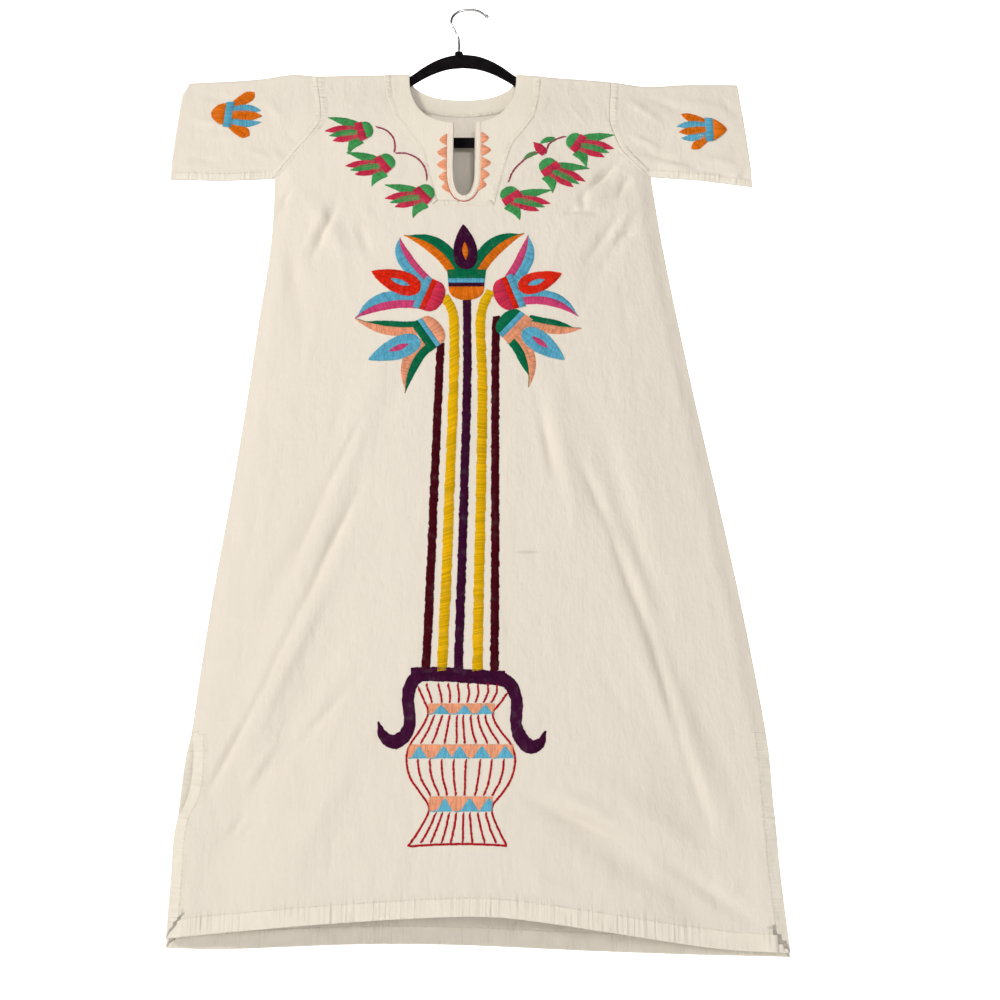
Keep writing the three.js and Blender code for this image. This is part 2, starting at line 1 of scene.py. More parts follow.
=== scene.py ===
# %% [markdown]
# # An embroidered cotton dress on its hanger
# This notebook dresses a rigid working model of a long A-line cotton dress. The model holds the
# pieces at their real size. Here each one becomes thin cloth with soft creases, turned hems,
# running stitches and raised satin-stitch flowers. Every surface is a formula evaluated on a
# numpy grid, because a sewn garment is a set of flat cut pieces that are bent, and a grid over
# such a piece follows its grain.

# %% Load the working model
import math

import bmesh
import bpy
import numpy as np
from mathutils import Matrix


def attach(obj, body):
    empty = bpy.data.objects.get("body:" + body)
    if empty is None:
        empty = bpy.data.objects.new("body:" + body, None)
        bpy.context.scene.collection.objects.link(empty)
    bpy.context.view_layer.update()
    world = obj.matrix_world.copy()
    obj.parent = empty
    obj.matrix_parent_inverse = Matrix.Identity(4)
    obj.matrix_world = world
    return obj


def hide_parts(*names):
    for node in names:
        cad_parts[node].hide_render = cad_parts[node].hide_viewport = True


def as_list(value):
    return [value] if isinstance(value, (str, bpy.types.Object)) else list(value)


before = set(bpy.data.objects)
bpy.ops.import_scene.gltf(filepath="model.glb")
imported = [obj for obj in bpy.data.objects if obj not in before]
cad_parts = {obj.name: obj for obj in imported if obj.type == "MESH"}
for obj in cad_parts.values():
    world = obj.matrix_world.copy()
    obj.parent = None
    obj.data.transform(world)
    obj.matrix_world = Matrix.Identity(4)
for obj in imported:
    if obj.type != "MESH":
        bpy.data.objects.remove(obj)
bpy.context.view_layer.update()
MM = 0.001  # all tables below are in millimetres
print("pieces of the model:", sorted(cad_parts))

# %% [markdown]
# ## Camera and room
# The viewer stands a little below the middle of the dress and looks up at it. A pale floor that
# curves up into a wall gives no edge behind the dress. One soft lamp above the left shoulder
# shapes the folds, and a weaker one from the front fills their shadows. A third stands behind
# and above, and lights the back and the inside of the neck.

# %% Camera
CAMERA_AT = (0.0485, -1.6885, -1.2239)
CAMERA_TILT = math.radians(15)
LENS = 46.0

camera_data = bpy.data.cameras.new("camera")
camera_data.lens = LENS
camera_data.sensor_width = 36
camera_data.clip_end = 30
camera = bpy.data.objects.new("camera", camera_data)
camera.location = CAMERA_AT
camera.rotation_euler = (math.pi / 2 + CAMERA_TILT, 0, 0)
bpy.context.collection.objects.link(camera)
bpy.context.scene.camera = camera
print("camera", CAMERA_AT, "lens", LENS)


# %% Mesh from a grid
def mesh_object(name, points, faces, smooth=True):
    """An object from points in metres and faces, at the origin."""
    mesh = bpy.data.meshes.new(name)
    mesh.vertices.add(len(points))
    mesh.vertices.foreach_set("co", np.asarray(points, np.float32).ravel())
    faces = np.asarray(faces)
    size = faces.shape[1]
    mesh.loops.add(faces.size)
    mesh.loops.foreach_set("vertex_index", faces.astype(np.int32).ravel())
    mesh.polygons.add(len(faces))
    mesh.polygons.foreach_set("loop_start", np.arange(0, faces.size, size, dtype=np.int32))
    mesh.polygons.foreach_set("use_smooth", np.full(len(faces), smooth))
    mesh.update(calc_edges=True)
    mesh.validate()
    thing = bpy.data.objects.new(name, mesh)
    bpy.context.collection.objects.link(thing)
    return thing


def grid_faces(rows, columns, first=0, around=False):
    """Quads of a grid whose point (i, j) is number first + i * columns + j. A grid that goes
    around joins its last row to its first."""
    i = np.arange(rows if around else rows - 1)[:, None]
    j = np.arange(columns - 1)[None, :]
    after = (i + 1) % rows
    quads = [i * columns + j, i * columns + j + 1, after * columns + j + 1, after * columns + j]
    return first + np.stack([q + 0 * (i + j) for q in quads], -1).reshape(-1, 4)


# %% Room
ROOM_FLOOR = -1.72
ROOM_WALL_Y = 2.6
ROOM_BEND = 1.2
ROOM_GLOW = 0.1  # light that the room gives the dress
ROOM_SEEN = 0.75  # brightness of its walls to the eye, nearly white


def make_room():
    """A floor, a quarter circle and a wall: one profile carried sideways."""
    bend = np.linspace(0, math.pi / 2, 24)
    y = np.concatenate([[-6.0], ROOM_WALL_Y - ROOM_BEND + ROOM_BEND * np.sin(bend), [ROOM_WALL_Y]])
    z = np.concatenate([[0.0], ROOM_BEND * (1 - np.cos(bend)), [6.0]]) + ROOM_FLOOR
    x = np.array([-7.0, 7.0])
    points = np.stack(
        [np.repeat(x[:, None], len(y), 1), np.tile(y, (2, 1)), np.tile(z, (2, 1))], -1
    ).reshape(-1, 3)
    room = mesh_object("room", points, grid_faces(2, len(y)))
    paint = bpy.data.materials.new("room paint")
    paint.use_nodes = True
    shader = paint.node_tree.nodes["Principled BSDF"]
    shader.inputs["Base Color"].default_value = (0.92, 0.92, 0.92, 1)
    shader.inputs["Roughness"].default_value = 0.9
    shader.inputs["Emission Color"].default_value = (1, 1, 1, 1)
    seen = paint.node_tree.nodes.new("ShaderNodeLightPath").outputs["Is Camera Ray"]
    glow = paint.node_tree.nodes.new("ShaderNodeMapRange")
    glow.inputs["To Min"].default_value = ROOM_GLOW
    glow.inputs["To Max"].default_value = ROOM_SEEN
    paint.node_tree.links.new(seen, glow.inputs["Value"])
    paint.node_tree.links.new(glow.outputs[0], shader.inputs["Emission Strength"])
    room.data.materials.append(paint)


def area_lamp(name, place, target, size, power, color=(1, 1, 1)):
    """A square soft lamp at `place`, turned to `target`."""
    data = bpy.data.lights.new(name, "AREA")
    data.size = size
    data.energy = power
    data.color = color
    lamp = bpy.data.objects.new(name, data)
    lamp.location = place
    direction = np.subtract(target, place)
    tilt = math.atan2(math.hypot(direction[0], direction[1]), -direction[2])
    lamp.rotation_euler = (tilt, 0, math.atan2(direction[1], direction[0]) - math.pi / 2)
    bpy.context.collection.objects.link(lamp)


make_room()
DRESS_MIDDLE = (0.0, 0.0, -0.7)
area_lamp("key lamp", (-4.2, -4.0, 2.2), DRESS_MIDDLE, 0.8, 208, (1, 0.97, 0.93))
area_lamp("front lamp", (0.8, -4.4, -0.5), DRESS_MIDDLE, 1.0, 48)
area_lamp("back lamp", (0.8, 1.9, 2.6), DRESS_MIDDLE, 1.6, 85)
world = bpy.data.worlds.new("room light")
world.use_nodes = True
world.node_tree.nodes["Background"].inputs["Color"].default_value = (1, 1, 1, 1)
world.node_tree.nodes["Background"].inputs["Strength"].default_value = 0.12
bpy.context.scene.world = world
bpy.context.scene.view_settings.view_transform = "Standard"

# %% [markdown]
# ## The sizes of the dress
# These tables repeat the driving sizes of the model. x is measured from the middle line of the
# dress and z from the hook's crown, both in millimetres. A smooth curve goes through the rows of
# each table, so an outline needs only the places where it changes.

# %% Tables of the cut and the hang
DRESS_X = -7.0  # the dress's middle line from the crown of the hook
THIN = 1.1  # wall of the cloth made here
SEAM = 0.1  # gap between two pieces at a seam
LEFT, RIGHT = -1, 1  # the hands of the dress, as a viewer sees them
FRONT, BACK = -1, 1  # its sides
UNDERARM_X = 275.0
UNDERARM_Z = {LEFT: -284.0, RIGHT: -281.0}
SLIT_TOP_Z = -1084.0
HEM_WIDTH = 22.0

TOP_LINE = np.array([  # x, z of the shoulder line
    (-440, -129), (-390, -126), (-334, -123), (-296, -119), (-256, -112.5), (-217, -115),
    (-150, -113.5), (-80, -113), (0, -113), (80, -113), (150, -118.5), (223, -125),
    (275, -132.5), (335, -129.5), (440, -130)], float)

SIDE_EDGES = np.array([  # z, left edge of the back, left edge of the front, right edge
    (-250, -278, -278, 276), (-284, -275, -275, 277), (-320, -274, -274, 281),
    (-400, -276, -276, 291), (-510, -287, -287, 308), (-630, -298, -298, 328),
    (-770, -313, -313, 353), (-910, -330, -330, 377), (-1045, -343, -343, 397),
    (-1086, -347, -345, 402), (-1120, -353, -342, 405), (-1165, -357, -345, 406),
    (-1203, -359, -359, 408), (-1270, -361, -361, 411), (-1370, -364, -363, 419)], float)

FRONT_HEM = np.array([  # x, z
    (-380, -1342), (-280, -1332), (-150, -1321), (0, -1313), (70, -1315), (200, -1333),
    (330, -1352), (430, -1358)], float)
BACK_HEM = np.array([
    (-380, -1351), (-300, -1354), (-120, -1349), (0, -1350), (200, -1358), (430, -1363)], float)

HALF_DEPTH = np.array([  # z, depth of the front, depth of the back
    (-100, 10, 9), (-284, 12, 10), (-600, 16, 13), (-900, 20, 16), (-1370, 26, 21)], float)

ARMHOLE = np.array([  # z, left x, right x
    (-90, -218, 222), (-122, -217, 222), (-190, -209, 218), (-213, -220, 223),
    (-245, -246, 238), (-284, -275.6, 277.6), (-310, -296, 300)], float)

FRONT_FOLDS = np.array([  # upper x, z, lower x, z, half width, height
    (-70, -470, -255, -1010, 17, 5), (-105, -600, -300, -1020, 13, -4),
    (-110, -760, -345, -1200, 17, 6), (-120, -900, -330, -1290, 19, -5),
    (-95, -1050, -250, -1325, 18, 4), (110, -520, 170, -900, 17, 4),
    (170, -590, 300, -1060, 18, -5), (190, -860, 385, -1300, 19, 6),
    (80, -1165, 350, -1330, 17, -6), (120, -1120, 370, -1270, 17, 4),
    (238, -285, 110, -405, 12, 4), (255, -320, 165, -500, 14, -4),
    (-238, -300, -150, -430, 13, 4), (-262, -330, -215, -560, 13, -4),
    (300, -262, 352, -280, 6, 3), (-400, -215, -300, -225, 9, 2), (300, -160, 400, -172, 10, 2)], float)
BACK_FOLDS = np.array([
    (-60, -260, -150, -1180, 22, 5), (70, -280, 190, -1220, 24, 6),
    (-150, -380, -280, -1240, 20, -5), (160, -420, 315, -1200, 20, -5),
    (5, -420, 25, -1300, 24, -5), (245, -300, 175, -470, 13, 4),
    (-240, -305, -180, -470, 13, 4)], float)

# %% [markdown]
# ## Creases
# Cotton that was folded away and then hung keeps many small creases. They run along the pull of
# the hanger and across the skirt. Each is listed as a soft trough or ridge, uneven in length,
# depth and spacing, on top of the large folds of the model.

# %% Tables of the small creases
FRONT_CREASES = np.array([  # upper x, z, lower x, z, half width, height
    (-190, -330, -150, -520, 5, 0.9), (-170, -300, -120, -400, 4, -0.8), (-215, -300, -180, -420, 5, 1.0),
    (-236, -352, -196, -468, 4, -1.0), (-200, -470, -235, -700, 6, 0.9),
    (-140, -520, -190, -760, 6, -0.9), (-100, -420, -125, -560, 5, 0.7), (-240, -640, -280, -900, 7, 1.1),
    (-160, -800, -230, -1010, 6, -1.1), (-210, -930, -290, -1130, 7, 1.2),
    (-130, -1000, -190, -1190, 6, 0.9), (-260, -1120, -300, -1290, 6, -0.9),
    (-70, -1210, -80, -1300, 7, 1.4), (-45, -1200, -58, -1304, 6, -1.2),
    (-105, -1225, -112, -1305, 6, 1.1), (-150, -1190, -165, -1300, 7, -1.2),
    (-190, -1230, -200, -1310, 5, 1.0), (20, -1255, 16, -1305, 6, 1.1), (50, -1240, 58, -1300, 6, -0.9),
    (95, -1230, 118, -1312, 7, 1.1), (140, -1200, 160, -1318, 6, -0.8), (250, -1230, 268, -1330, 6, 1.0),
    (310, -1180, 330, -1330, 7, -1.1), (150, -330, 120, -470, 5, 0.9), (188, -300, 130, -380, 4, -1.2),
    (214, -290, 158, -352, 4, 1.3), (225, -262, 165, -322, 4, -1.3), (206, -248, 150, -296, 3.5, 1.0),
    (236, -345, 196, -440, 4, 1.1), (222, -430, 240, -560, 5, -0.9), (130, -640, 152, -860, 6, -1.0),
    (210, -640, 262, -900, 7, 1.0), (170, -960, 240, -1120, 7, -1.1), (110, -900, 150, -1060, 6, 0.9),
    (270, -980, 330, -1160, 7, 1.1), (60, -1250, 190, -1310, 8, 0.9), (150, -160, 186, -206, 4, 0.9),
    (176, -150, 202, -210, 4, -0.8), (-150, -150, -180, -205, 5, 0.7), (-176, -232, -214, -262, 4, 0.8),
    (128, -150, 112, -190, 4, 0.6), (-128, -135, -118, -182, 5, 0.5), (86, -640, 92, -700, 12, -0.6),
    (-250, -480, -262, -620, 5, 0.8),
    # the long pressed lines that run out to both sides of the skirt, then those under the arms
    (-121, -627, -190, -790, 6.9, -4.3), (-160, -715, -240, -920, 6.9, -4.3),
    (-118, -720, -215, -945, 6.3, -6.3), (-185, -875, -290, -1115, 6.3, -6.8),
    (-250, -1025, -339, -1202, 5.8, -6.3), (-165, -880, -280, -1130, 8.0, 3.9),
    (-105, -990, -255, -1163, 8.0, -4.8), (-168, -855, -224, -955, 6.9, -3.3),
    (-228, -1090, -280, -1168, 5.8, 5.7), (-236, -1180, -287, -1234, 6.9, -3.9),
    (-254, -1177, -309, -1236, 5.8, -3.9), (106, -615, 138, -780, 6.3, -6.3),
    (158, -705, 214, -840, 6.3, -4.8), (195, -795, 262, -990, 6.3, -6.8),
    (240, -910, 300, -1140, 6.3, -6.8), (280, -1065, 332, -1240, 6.9, -5.2),
    (215, -800, 275, -980, 8.0, 3.3), (70, -1160, 250, -1242, 8.0, -7.2),
    (230, -1225, 405, -1341, 8.0, -5.2), (100, -1150, 240, -1215, 9.2, 3.6),
    (237, -255, 174, -319, 5.8, -7.2), (180, -303, 175, -350, 5.2, -5.7),
    (136, -346, 209, -341, 5.2, -3.3), (248, -277, 222, -327, 5.8, -5.2),
    (244, -333, 162, -445, 6.9, -5.7), (259, -322, 184, -423, 6.9, 4.3),
    (-175, -317, -219, -431, 5.8, -6.8), (-190, -317, -232, -421, 5.8, 3.9),
    (-151, -350, -127, -428, 6.9, -3.9), (-248, -297, -265, -346, 5.8, -5.7),
    (258, -363, 216, -399, 5.8, -3.9)], float)
BACK_CREASES = np.array([
    (-150, -320, -120, -520, 6, 1.0), (140, -330, 120, -540, 6, -1.0), (-30, -240, -60, -420, 6, 0.8),
    (60, -250, 90, -470, 6, 0.9), (-200, -520, -240, -800, 7, 1.1), (215, -560, 262, -860, 7, -1.0),
    (-90, -700, -130, -960, 7, -1.1), (95, -760, 140, -1010, 7, 1.1), (-260, -900, -300, -1200, 7, 1.1),
    (290, -930, 340, -1220, 7, 1.0), (-60, -1120, -70, -1300, 8, 1.3), (60, -1140, 75, -1310, 7, -1.1),
    (160, -1160, 190, -1320, 7, 1.1), (-180, -1150, -205, -1320, 7, -1.1), (-20, -520, -25, -900, 9, 0.9),
    (240, -1180, 262, -1330, 6, 0.9), (-300, -1230, -315, -1330, 6, 0.8)], float)
SLEEVE_CREASES = np.array([  # on the front and the back of both sleeves
    (-410, -190, -330, -204, 6, 2.5), (-300, -150, -262, -196, 5, 2.2), (-392, -148, -340, -160, 6, -2.0),
    (-330, -232, -270, -262, 5, 2.6), (-410, -250, -350, -262, 5, -2.2), (-262, -210, -240, -236, 4, -2.2),
    (-284, -236, -256, -268, 4, 2.5), (-420, -270, -300, -276, 3, 1.8),
    (236, -150, 300, -204, 6, 2.9), (262, -146, 340, -182, 6, -2.5), (300, -210, 392, -224, 6, 2.2),
    (240, -214, 296, -244, 5, 2.9), (252, -240, 330, -262, 5, -2.9), (340, -250, 412, -268, 6, 2.5),
    (380, -150, 412, -190, 7, -2.0), (278, -262, 352, -276, 5, 4.8)], float)
CREASES = {
    FRONT: np.concatenate([FRONT_CREASES, SLEEVE_CREASES]),
    BACK: np.concatenate([BACK_CREASES, SLEEVE_CREASES]),
}
print("creases by hand:", {side: len(table) for side, table in CREASES.items()})

# %% [markdown]
# ## The form of the hanging cloth
# Front and back meet at the shoulder fold, at the side seams and at the sleeve's lower fold. In
# between they stand apart like the two halves of a lens. One function gives how far the inner
# face lies from the middle plane, and every piece of the dress is laid on it.


# %% Curves and folds
def curve(table, column):
    """Cubic through a table: between two rows it is the Hermite curve whose slope at a row is
    that of the line through the rows on either side."""
    order = np.argsort(table[:, 0])
    at, value = table[order, 0], table[order, column]
    index = np.arange(len(at))
    before, after = np.maximum(index - 1, 0), np.minimum(index + 1, len(at) - 1)
    slope = (value[after] - value[before]) / (at[after] - at[before])

    def height(x):
        i = np.clip(np.searchsorted(at, x) - 1, 0, len(at) - 2)
        step = at[i + 1] - at[i]
        t = np.clip((x - at[i]) / step, 0, 1)
        rise = value[i] + (value[i + 1] - value[i]) * t * t * (3 - 2 * t)
        return rise + ((t**3 - 2 * t * t + t) * slope[i] + (t**3 - t * t) * slope[i + 1]) * step

    return height


def ease(t):
    """Smooth step from 0 to 1."""
    t = np.clip(t, 0, 1)
    return t * t * (3 - 2 * t)


top_line = curve(TOP_LINE, 1)
right_edge = curve(SIDE_EDGES, 3)
left_edge = {FRONT: curve(SIDE_EDGES, 2), BACK: curve(SIDE_EDGES, 1)}
hem_line = {FRONT: curve(FRONT_HEM, 1), BACK: curve(BACK_HEM, 1)}
half_depth = {FRONT: curve(HALF_DEPTH, 1), BACK: curve(HALF_DEPTH, 2)}
large_folds = {FRONT: FRONT_FOLDS, BACK: BACK_FOLDS}
armhole = {LEFT: curve(ARMHOLE, 1), RIGHT: curve(ARMHOLE, 2)}
SLEEVE_FOLD = np.array([  # distance from the middle line, left z, right z
    (275, -284, -281), (351.5, -287, -287), (428, -285, -298)], float)


def sleeve_fold(x):
    """Height of the sleeve's lower fold, straight between the rows of its table."""
    away = np.abs(x)
    columns = [np.interp(away, SLEEVE_FOLD[:, 0], SLEEVE_FOLD[:, k]) for k in (1, 2)]
    return np.where(x < 0, columns[0], columns[1])


def ridges(table, x, z):
    """Sum of long bells: sin squared along each row's line, a Gaussian across it."""
    total = np.zeros(np.broadcast(x, z).shape)
    for x0, z0, x1, z1, width, height in table:
        dx, dz = x1 - x0, z1 - z0
        length = math.hypot(dx, dz)
        along = ((x - x0) * dx + (z - z0) * dz) / length**2
        across = ((x - x0) * dz - (z - z0) * dx) / length
        bell = height * np.sin(math.pi * along) ** 2 * np.exp(-((across / width) ** 2))
        total += np.where((along > 0) & (along < 1), bell, 0)
    return total


# %% Depth of the cloth
SHOULDER_DEPTH = 4.6  # of the fold over the shoulder
SHOULDER_TURN = 5  # height in which it bends
SLIT_GAPE = 3  # how far the side slits open


def edge_distance(side, x, z):
    """Distance to the closed edge: the side seam below the underarm, the sleeve's lower fold
    beyond it, and the underarm point above both."""
    level = np.where(x < 0, UNDERARM_Z[LEFT], UNDERARM_Z[RIGHT])
    beyond = np.abs(x) - UNDERARM_X
    below = np.where(x < 0, x - left_edge[side](z), right_edge(z) - x)
    above = np.where(beyond > 0, z - sleeve_fold(x), np.hypot(beyond, z - level))
    return np.maximum(np.where(z < level, below, above), 0)


def inner_depth(side, x, z):
    """Distance of the inner face from the middle plane: a quarter ellipse at the shoulder fold,
    a parabola from the closed edge to the middle, the folds, the creases and the slits' gape.
    It is never less than half a seam, so that the front and the back can't cross."""
    below = np.maximum(top_line(x) - z, 0)
    edge = edge_distance(side, x, z)
    level = np.minimum(z, UNDERARM_Z[LEFT])
    half = (right_edge(level) - left_edge[side](level)) / 2
    turn = 1 - np.minimum(below / SHOULDER_TURN, 1)
    shoulder = SHOULDER_DEPTH * np.sqrt(1 - turn**2) * ease(edge / 25)
    share = np.minimum(edge / half, 1)
    flat = 1 - 0.45 * ease((np.abs(x) - 230) / 90)
    lens = half_depth[side](z) * flat * share * (2 - share) * ease(below / 90)
    folds = ridges(large_folds[side], x, z) * ease(edge / 40) * ease(below / 40)
    creases = ridges(CREASES[side], x, z) * ease(edge / 12) * ease(below / 25)
    gape = SLIT_GAPE * ease((SLIT_TOP_Z - z) / 120) * (1 - ease(edge / 60))
    return SEAM / 2 + np.maximum(shoulder + lens + folds + creases + gape, 0)


# %% Points on and above the cloth
NUDGE = 0.02


def lay(side, x, d, away):
    """Points in metres that lie `away` outside the inner face, at x and d below the shoulder
    line. The direction out is the cross product of two short steps, sideways and down. The step
    down is taken in w, where d is w squared over ten, so it stays sound on the sharp top fold."""

    def inner(x, w):
        z = top_line(x) - w * w / 10
        return np.stack([x + DRESS_X, side * inner_depth(side, x, z), z + 0 * x], -1)

    x, w = np.broadcast_arrays(np.asarray(x, float), np.sqrt(10 * np.maximum(d, 0)))
    here = inner(x, w)
    out = side * np.cross(inner(x + NUDGE, w) - here, inner(x, w + NUDGE) - here)
    out /= np.linalg.norm(out, axis=-1, keepdims=True)
    return (here + np.broadcast_to(away, x.shape)[..., None] * out) * MM


def resample(line, at):
    """Points of a polyline at distances along it."""
    line = np.asarray(line, float)
    length = np.concatenate([[0], np.cumsum(np.linalg.norm(np.diff(line, axis=0), axis=1))])
    return np.stack([np.interp(at, length, line[:, k]) for k in range(line.shape[1])], -1)


def length_of(line):
    """Length of a polyline."""
    return float(np.linalg.norm(np.diff(np.asarray(line, float), axis=0), axis=1).sum())


def spread(length, head, tail, count):
    """Distances along a line: those of `head` from its start, those of `tail` back from its end,
    and `count` even steps between them. `length` may be an array of line lengths."""
    length = np.asarray(length, float)[..., None]
    head = np.asarray(head, float) + 0 * length
    tail = length - np.asarray(tail, float)[::-1]
    t = np.linspace(0, 1, count + 1)[1:-1]
    return np.concatenate([head, head[..., -1:] * (1 - t) + tail[..., :1] * t, tail], -1)


# %% [markdown]
# ## A wall of cloth
# Cloth has two faces. Each piece is one grid of places laid twice, once on its inner and once on
# its outer side, and its open borders are stitched together by a narrow strip, so the mesh is
# closed. Where a piece ends in a fold or a seam the two faces draw together, which gives the
# edge the soft roll of a folded hem.


# %% Closed wall from two layers
def wall(name, near, far, faces):
    """Outer face, reversed inner face, and a quad for every border edge, which is an edge that
    only one face of a layer uses."""
    count = len(near)
    edges = np.concatenate([np.stack([faces[:, k], faces[:, (k + 1) % 4]], -1) for k in range(4)])
    key = edges[:, 0] * count + edges[:, 1]
    back = edges[:, 1] * count + edges[:, 0]
    border = edges[~np.isin(key, back)]
    rim = np.stack([border[:, 1], border[:, 0], border[:, 0] + count, border[:, 1] + count], -1)
    faces = np.concatenate([faces, faces[:, ::-1] + count, rim])
    return mesh_object(name, np.concatenate([far, near]), faces)


def float_attribute(thing, name, values):
    """One number a vertex, given for one layer and used for both."""
    attribute = thing.data.attributes.new(name, "FLOAT", "POINT")
    attribute.data.foreach_set("value", np.tile(np.asarray(values, np.float32).ravel(), 2))


def sewing_attributes(thing, hem, seam, along):
    """What the cotton's shader reads: the distance from an open edge as a share of its hem, the
    distance from a seam, and the place along either, in millimetres."""
    for name, values in (("hem", hem), ("seam", seam), ("along", along)):
        float_attribute(thing, name, values)


EDGE_STEPS = [0, 0.7, 1.8, 3.5]  # columns this close to each edge shape its roll
TOP_STEPS = [0, 0.1, 0.4, 0.9, 1.6, 2.5, 4.2, 6.4, 10]  # rows over the shoulder fold
PLAIN_STEPS = [0, 1.5]  # rows at a corner of a border


def rolled(distance, low, high):
    """Heights of the two faces at a distance from an edge: a quarter circle that closes from the
    full wall to a fifth of it."""
    share = 0.2 + 0.8 * np.sqrt(1 - (1 - np.clip(distance / 1.6, 0, 1)) ** 2)
    return low + (high - low) * (0.5 - share / 2), low + (high - low) * (0.5 + share / 2)


def ruled(inner_parts, outer_parts, plans, columns):
    """Grid between two borders in (x, d). Part k of the inner border faces part k of the outer
    one, plans[k] is (head, tail, count) of its rows, and a row runs straight across. Returns x,
    d, the distance from each border, and the place along the borders in parts."""
    inner, outer, part = [], [], []
    for k, (head, tail, count) in enumerate(plans):
        start = 0 if k == 0 else 1
        for line, rows in ((inner_parts[k], inner), (outer_parts[k], outer)):
            rows.append(resample(line, spread(length_of(line), head, tail, count)))
            rows[-1] = rows[-1][start:]
        size = len(inner[-1])
        part.append(k + np.linspace(0, 1, size + start)[start:])
    inner, outer, part = np.concatenate(inner), np.concatenate(outer), np.concatenate(part)
    across = np.linalg.norm(inner - outer, axis=1)
    from_outer = spread(across, EDGE_STEPS, EDGE_STEPS, columns)
    share = (from_outer / across[:, None])[..., None]
    grid = outer[:, None] * (1 - share) + inner[:, None] * share
    return grid[..., 0], grid[..., 1], across[:, None] - from_outer, from_outer, part


# %% [markdown]
# ## Neck, slit and facing lines
# The round neck is half of a superellipse and the slit ends in a long U. Every piece round the
# neck is measured from these two curves, so the cloth, its facing and the binding keep step.

# %% Neck and slit curves
NECK_HALF = 80.0
NECK_TOP_Z = -109.0
SHOULDER_Z = -113.0
FRONT_NECK = (-202.0, 2.6)  # lowest z, power of the superellipse
BACK_NECK = (-149.0, 2.3)
SLIT_X = 3.0
SLIT_HALF = 16.5
SLIT_BOTTOM_Z = -321.0
SLIT_BEND = 42.0
BACK_FACING_WIDTH = 26.0
FACING_BOTTOM_Z = -336.0
FACING_EDGE = np.array([  # z and half width of the facing's outer edge
    (-113, 116), (-126, 116), (-157, 112), (-190, 103), (-214, 87), (-233, 72), (-254, 64),
    (-292, 54.5), (-336, 44)], float)


def with_depth(points):
    """From (x, z) to (x, d)."""
    points = np.asarray(points, float)
    return np.stack([points[:, 0], np.maximum(top_line(points[:, 0]) - points[:, 1], 0)], -1)


def neck_quarter(neck, hand, grow=0.0, middle=0.0):
    """From the shoulder to x = middle: x is the half width times cos(a)^(2/p), and z falls by the
    height times sin(a)^(2/p)."""
    low, power = neck
    half, height = NECK_HALF + grow, NECK_TOP_Z - low + grow
    first = math.asin(((NECK_TOP_Z - SHOULDER_Z) / height) ** (power / 2))
    last = math.acos((hand * middle / half) ** (power / 2))
    a = np.linspace(first, last, 160)
    x = hand * half * np.cos(a).clip(0) ** (2 / power)
    return with_depth(np.stack([x, NECK_TOP_Z - height * np.sin(a) ** (2 / power)], -1))


def slit_side(hand, grow=0.0):
    """From the neck's edge down one side of the slit to its lowest point: a straight run, then a
    quarter of a long U whose sine and cosine are raised to 0.9."""
    half = SLIT_HALF + grow
    x = SLIT_X + hand * half
    bend = SLIT_BOTTOM_Z + SLIT_BEND
    a = np.linspace(0, math.pi / 2, 60)
    cosine, sine = np.cos(a).clip(0) ** 0.9, np.sin(a) ** 0.9
    u = with_depth(np.stack([SLIT_X + hand * half * cosine, bend - (SLIT_BEND + grow) * sine], -1))
    start = neck_quarter(FRONT_NECK, hand, middle=x)[-1:]
    return np.concatenate([start, u])


def down(x_of_z, top, bottom, count=120):
    """A border that runs down, x given by a curve of z, as (x, d)."""
    z = np.linspace(top, bottom, count)
    return with_depth(np.stack([x_of_z(z) + 0 * z, z], -1))


def split(line, at):
    """Two polylines that meet at a distance along a line."""
    total = length_of(line)
    spans = ((0, at), (at, total))
    return [resample(line, np.linspace(*span, max(int((span[1] - span[0]) / 2), 2))) for span in spans]


print("neck's lowest depth", round(float(neck_quarter(FRONT_NECK, -1)[-1, 1]), 1), "mm below the shoulder")

# %% [markdown]
# ## Front and back
# Each body panel is drawn as two halves that share the middle line. The rows of a half fan out
# from the neck and the slit to the armhole and the side seam, and lie level at the hem, much as
# the cloth's crosswise threads hang. Rows crowd at the shoulder fold and at the turned hem.

# %% Body panels
HEM_STEPS = [0, 0.8, 2, 5, 10, 15, 19, 21, 22.5, 24, 28]
SIDE_HEM = 15.0
SLIT_PART = 110.0  # the part of the side seam that faces the neck slit
ARMHOLE_TOP_Z = -118.0  # level at which the armhole leaves the shoulder
AWAY = 99.0  # stands for "not near" in the attributes
PANEL_COLUMNS = {FRONT: 72, BACK: 50}  # columns of each half


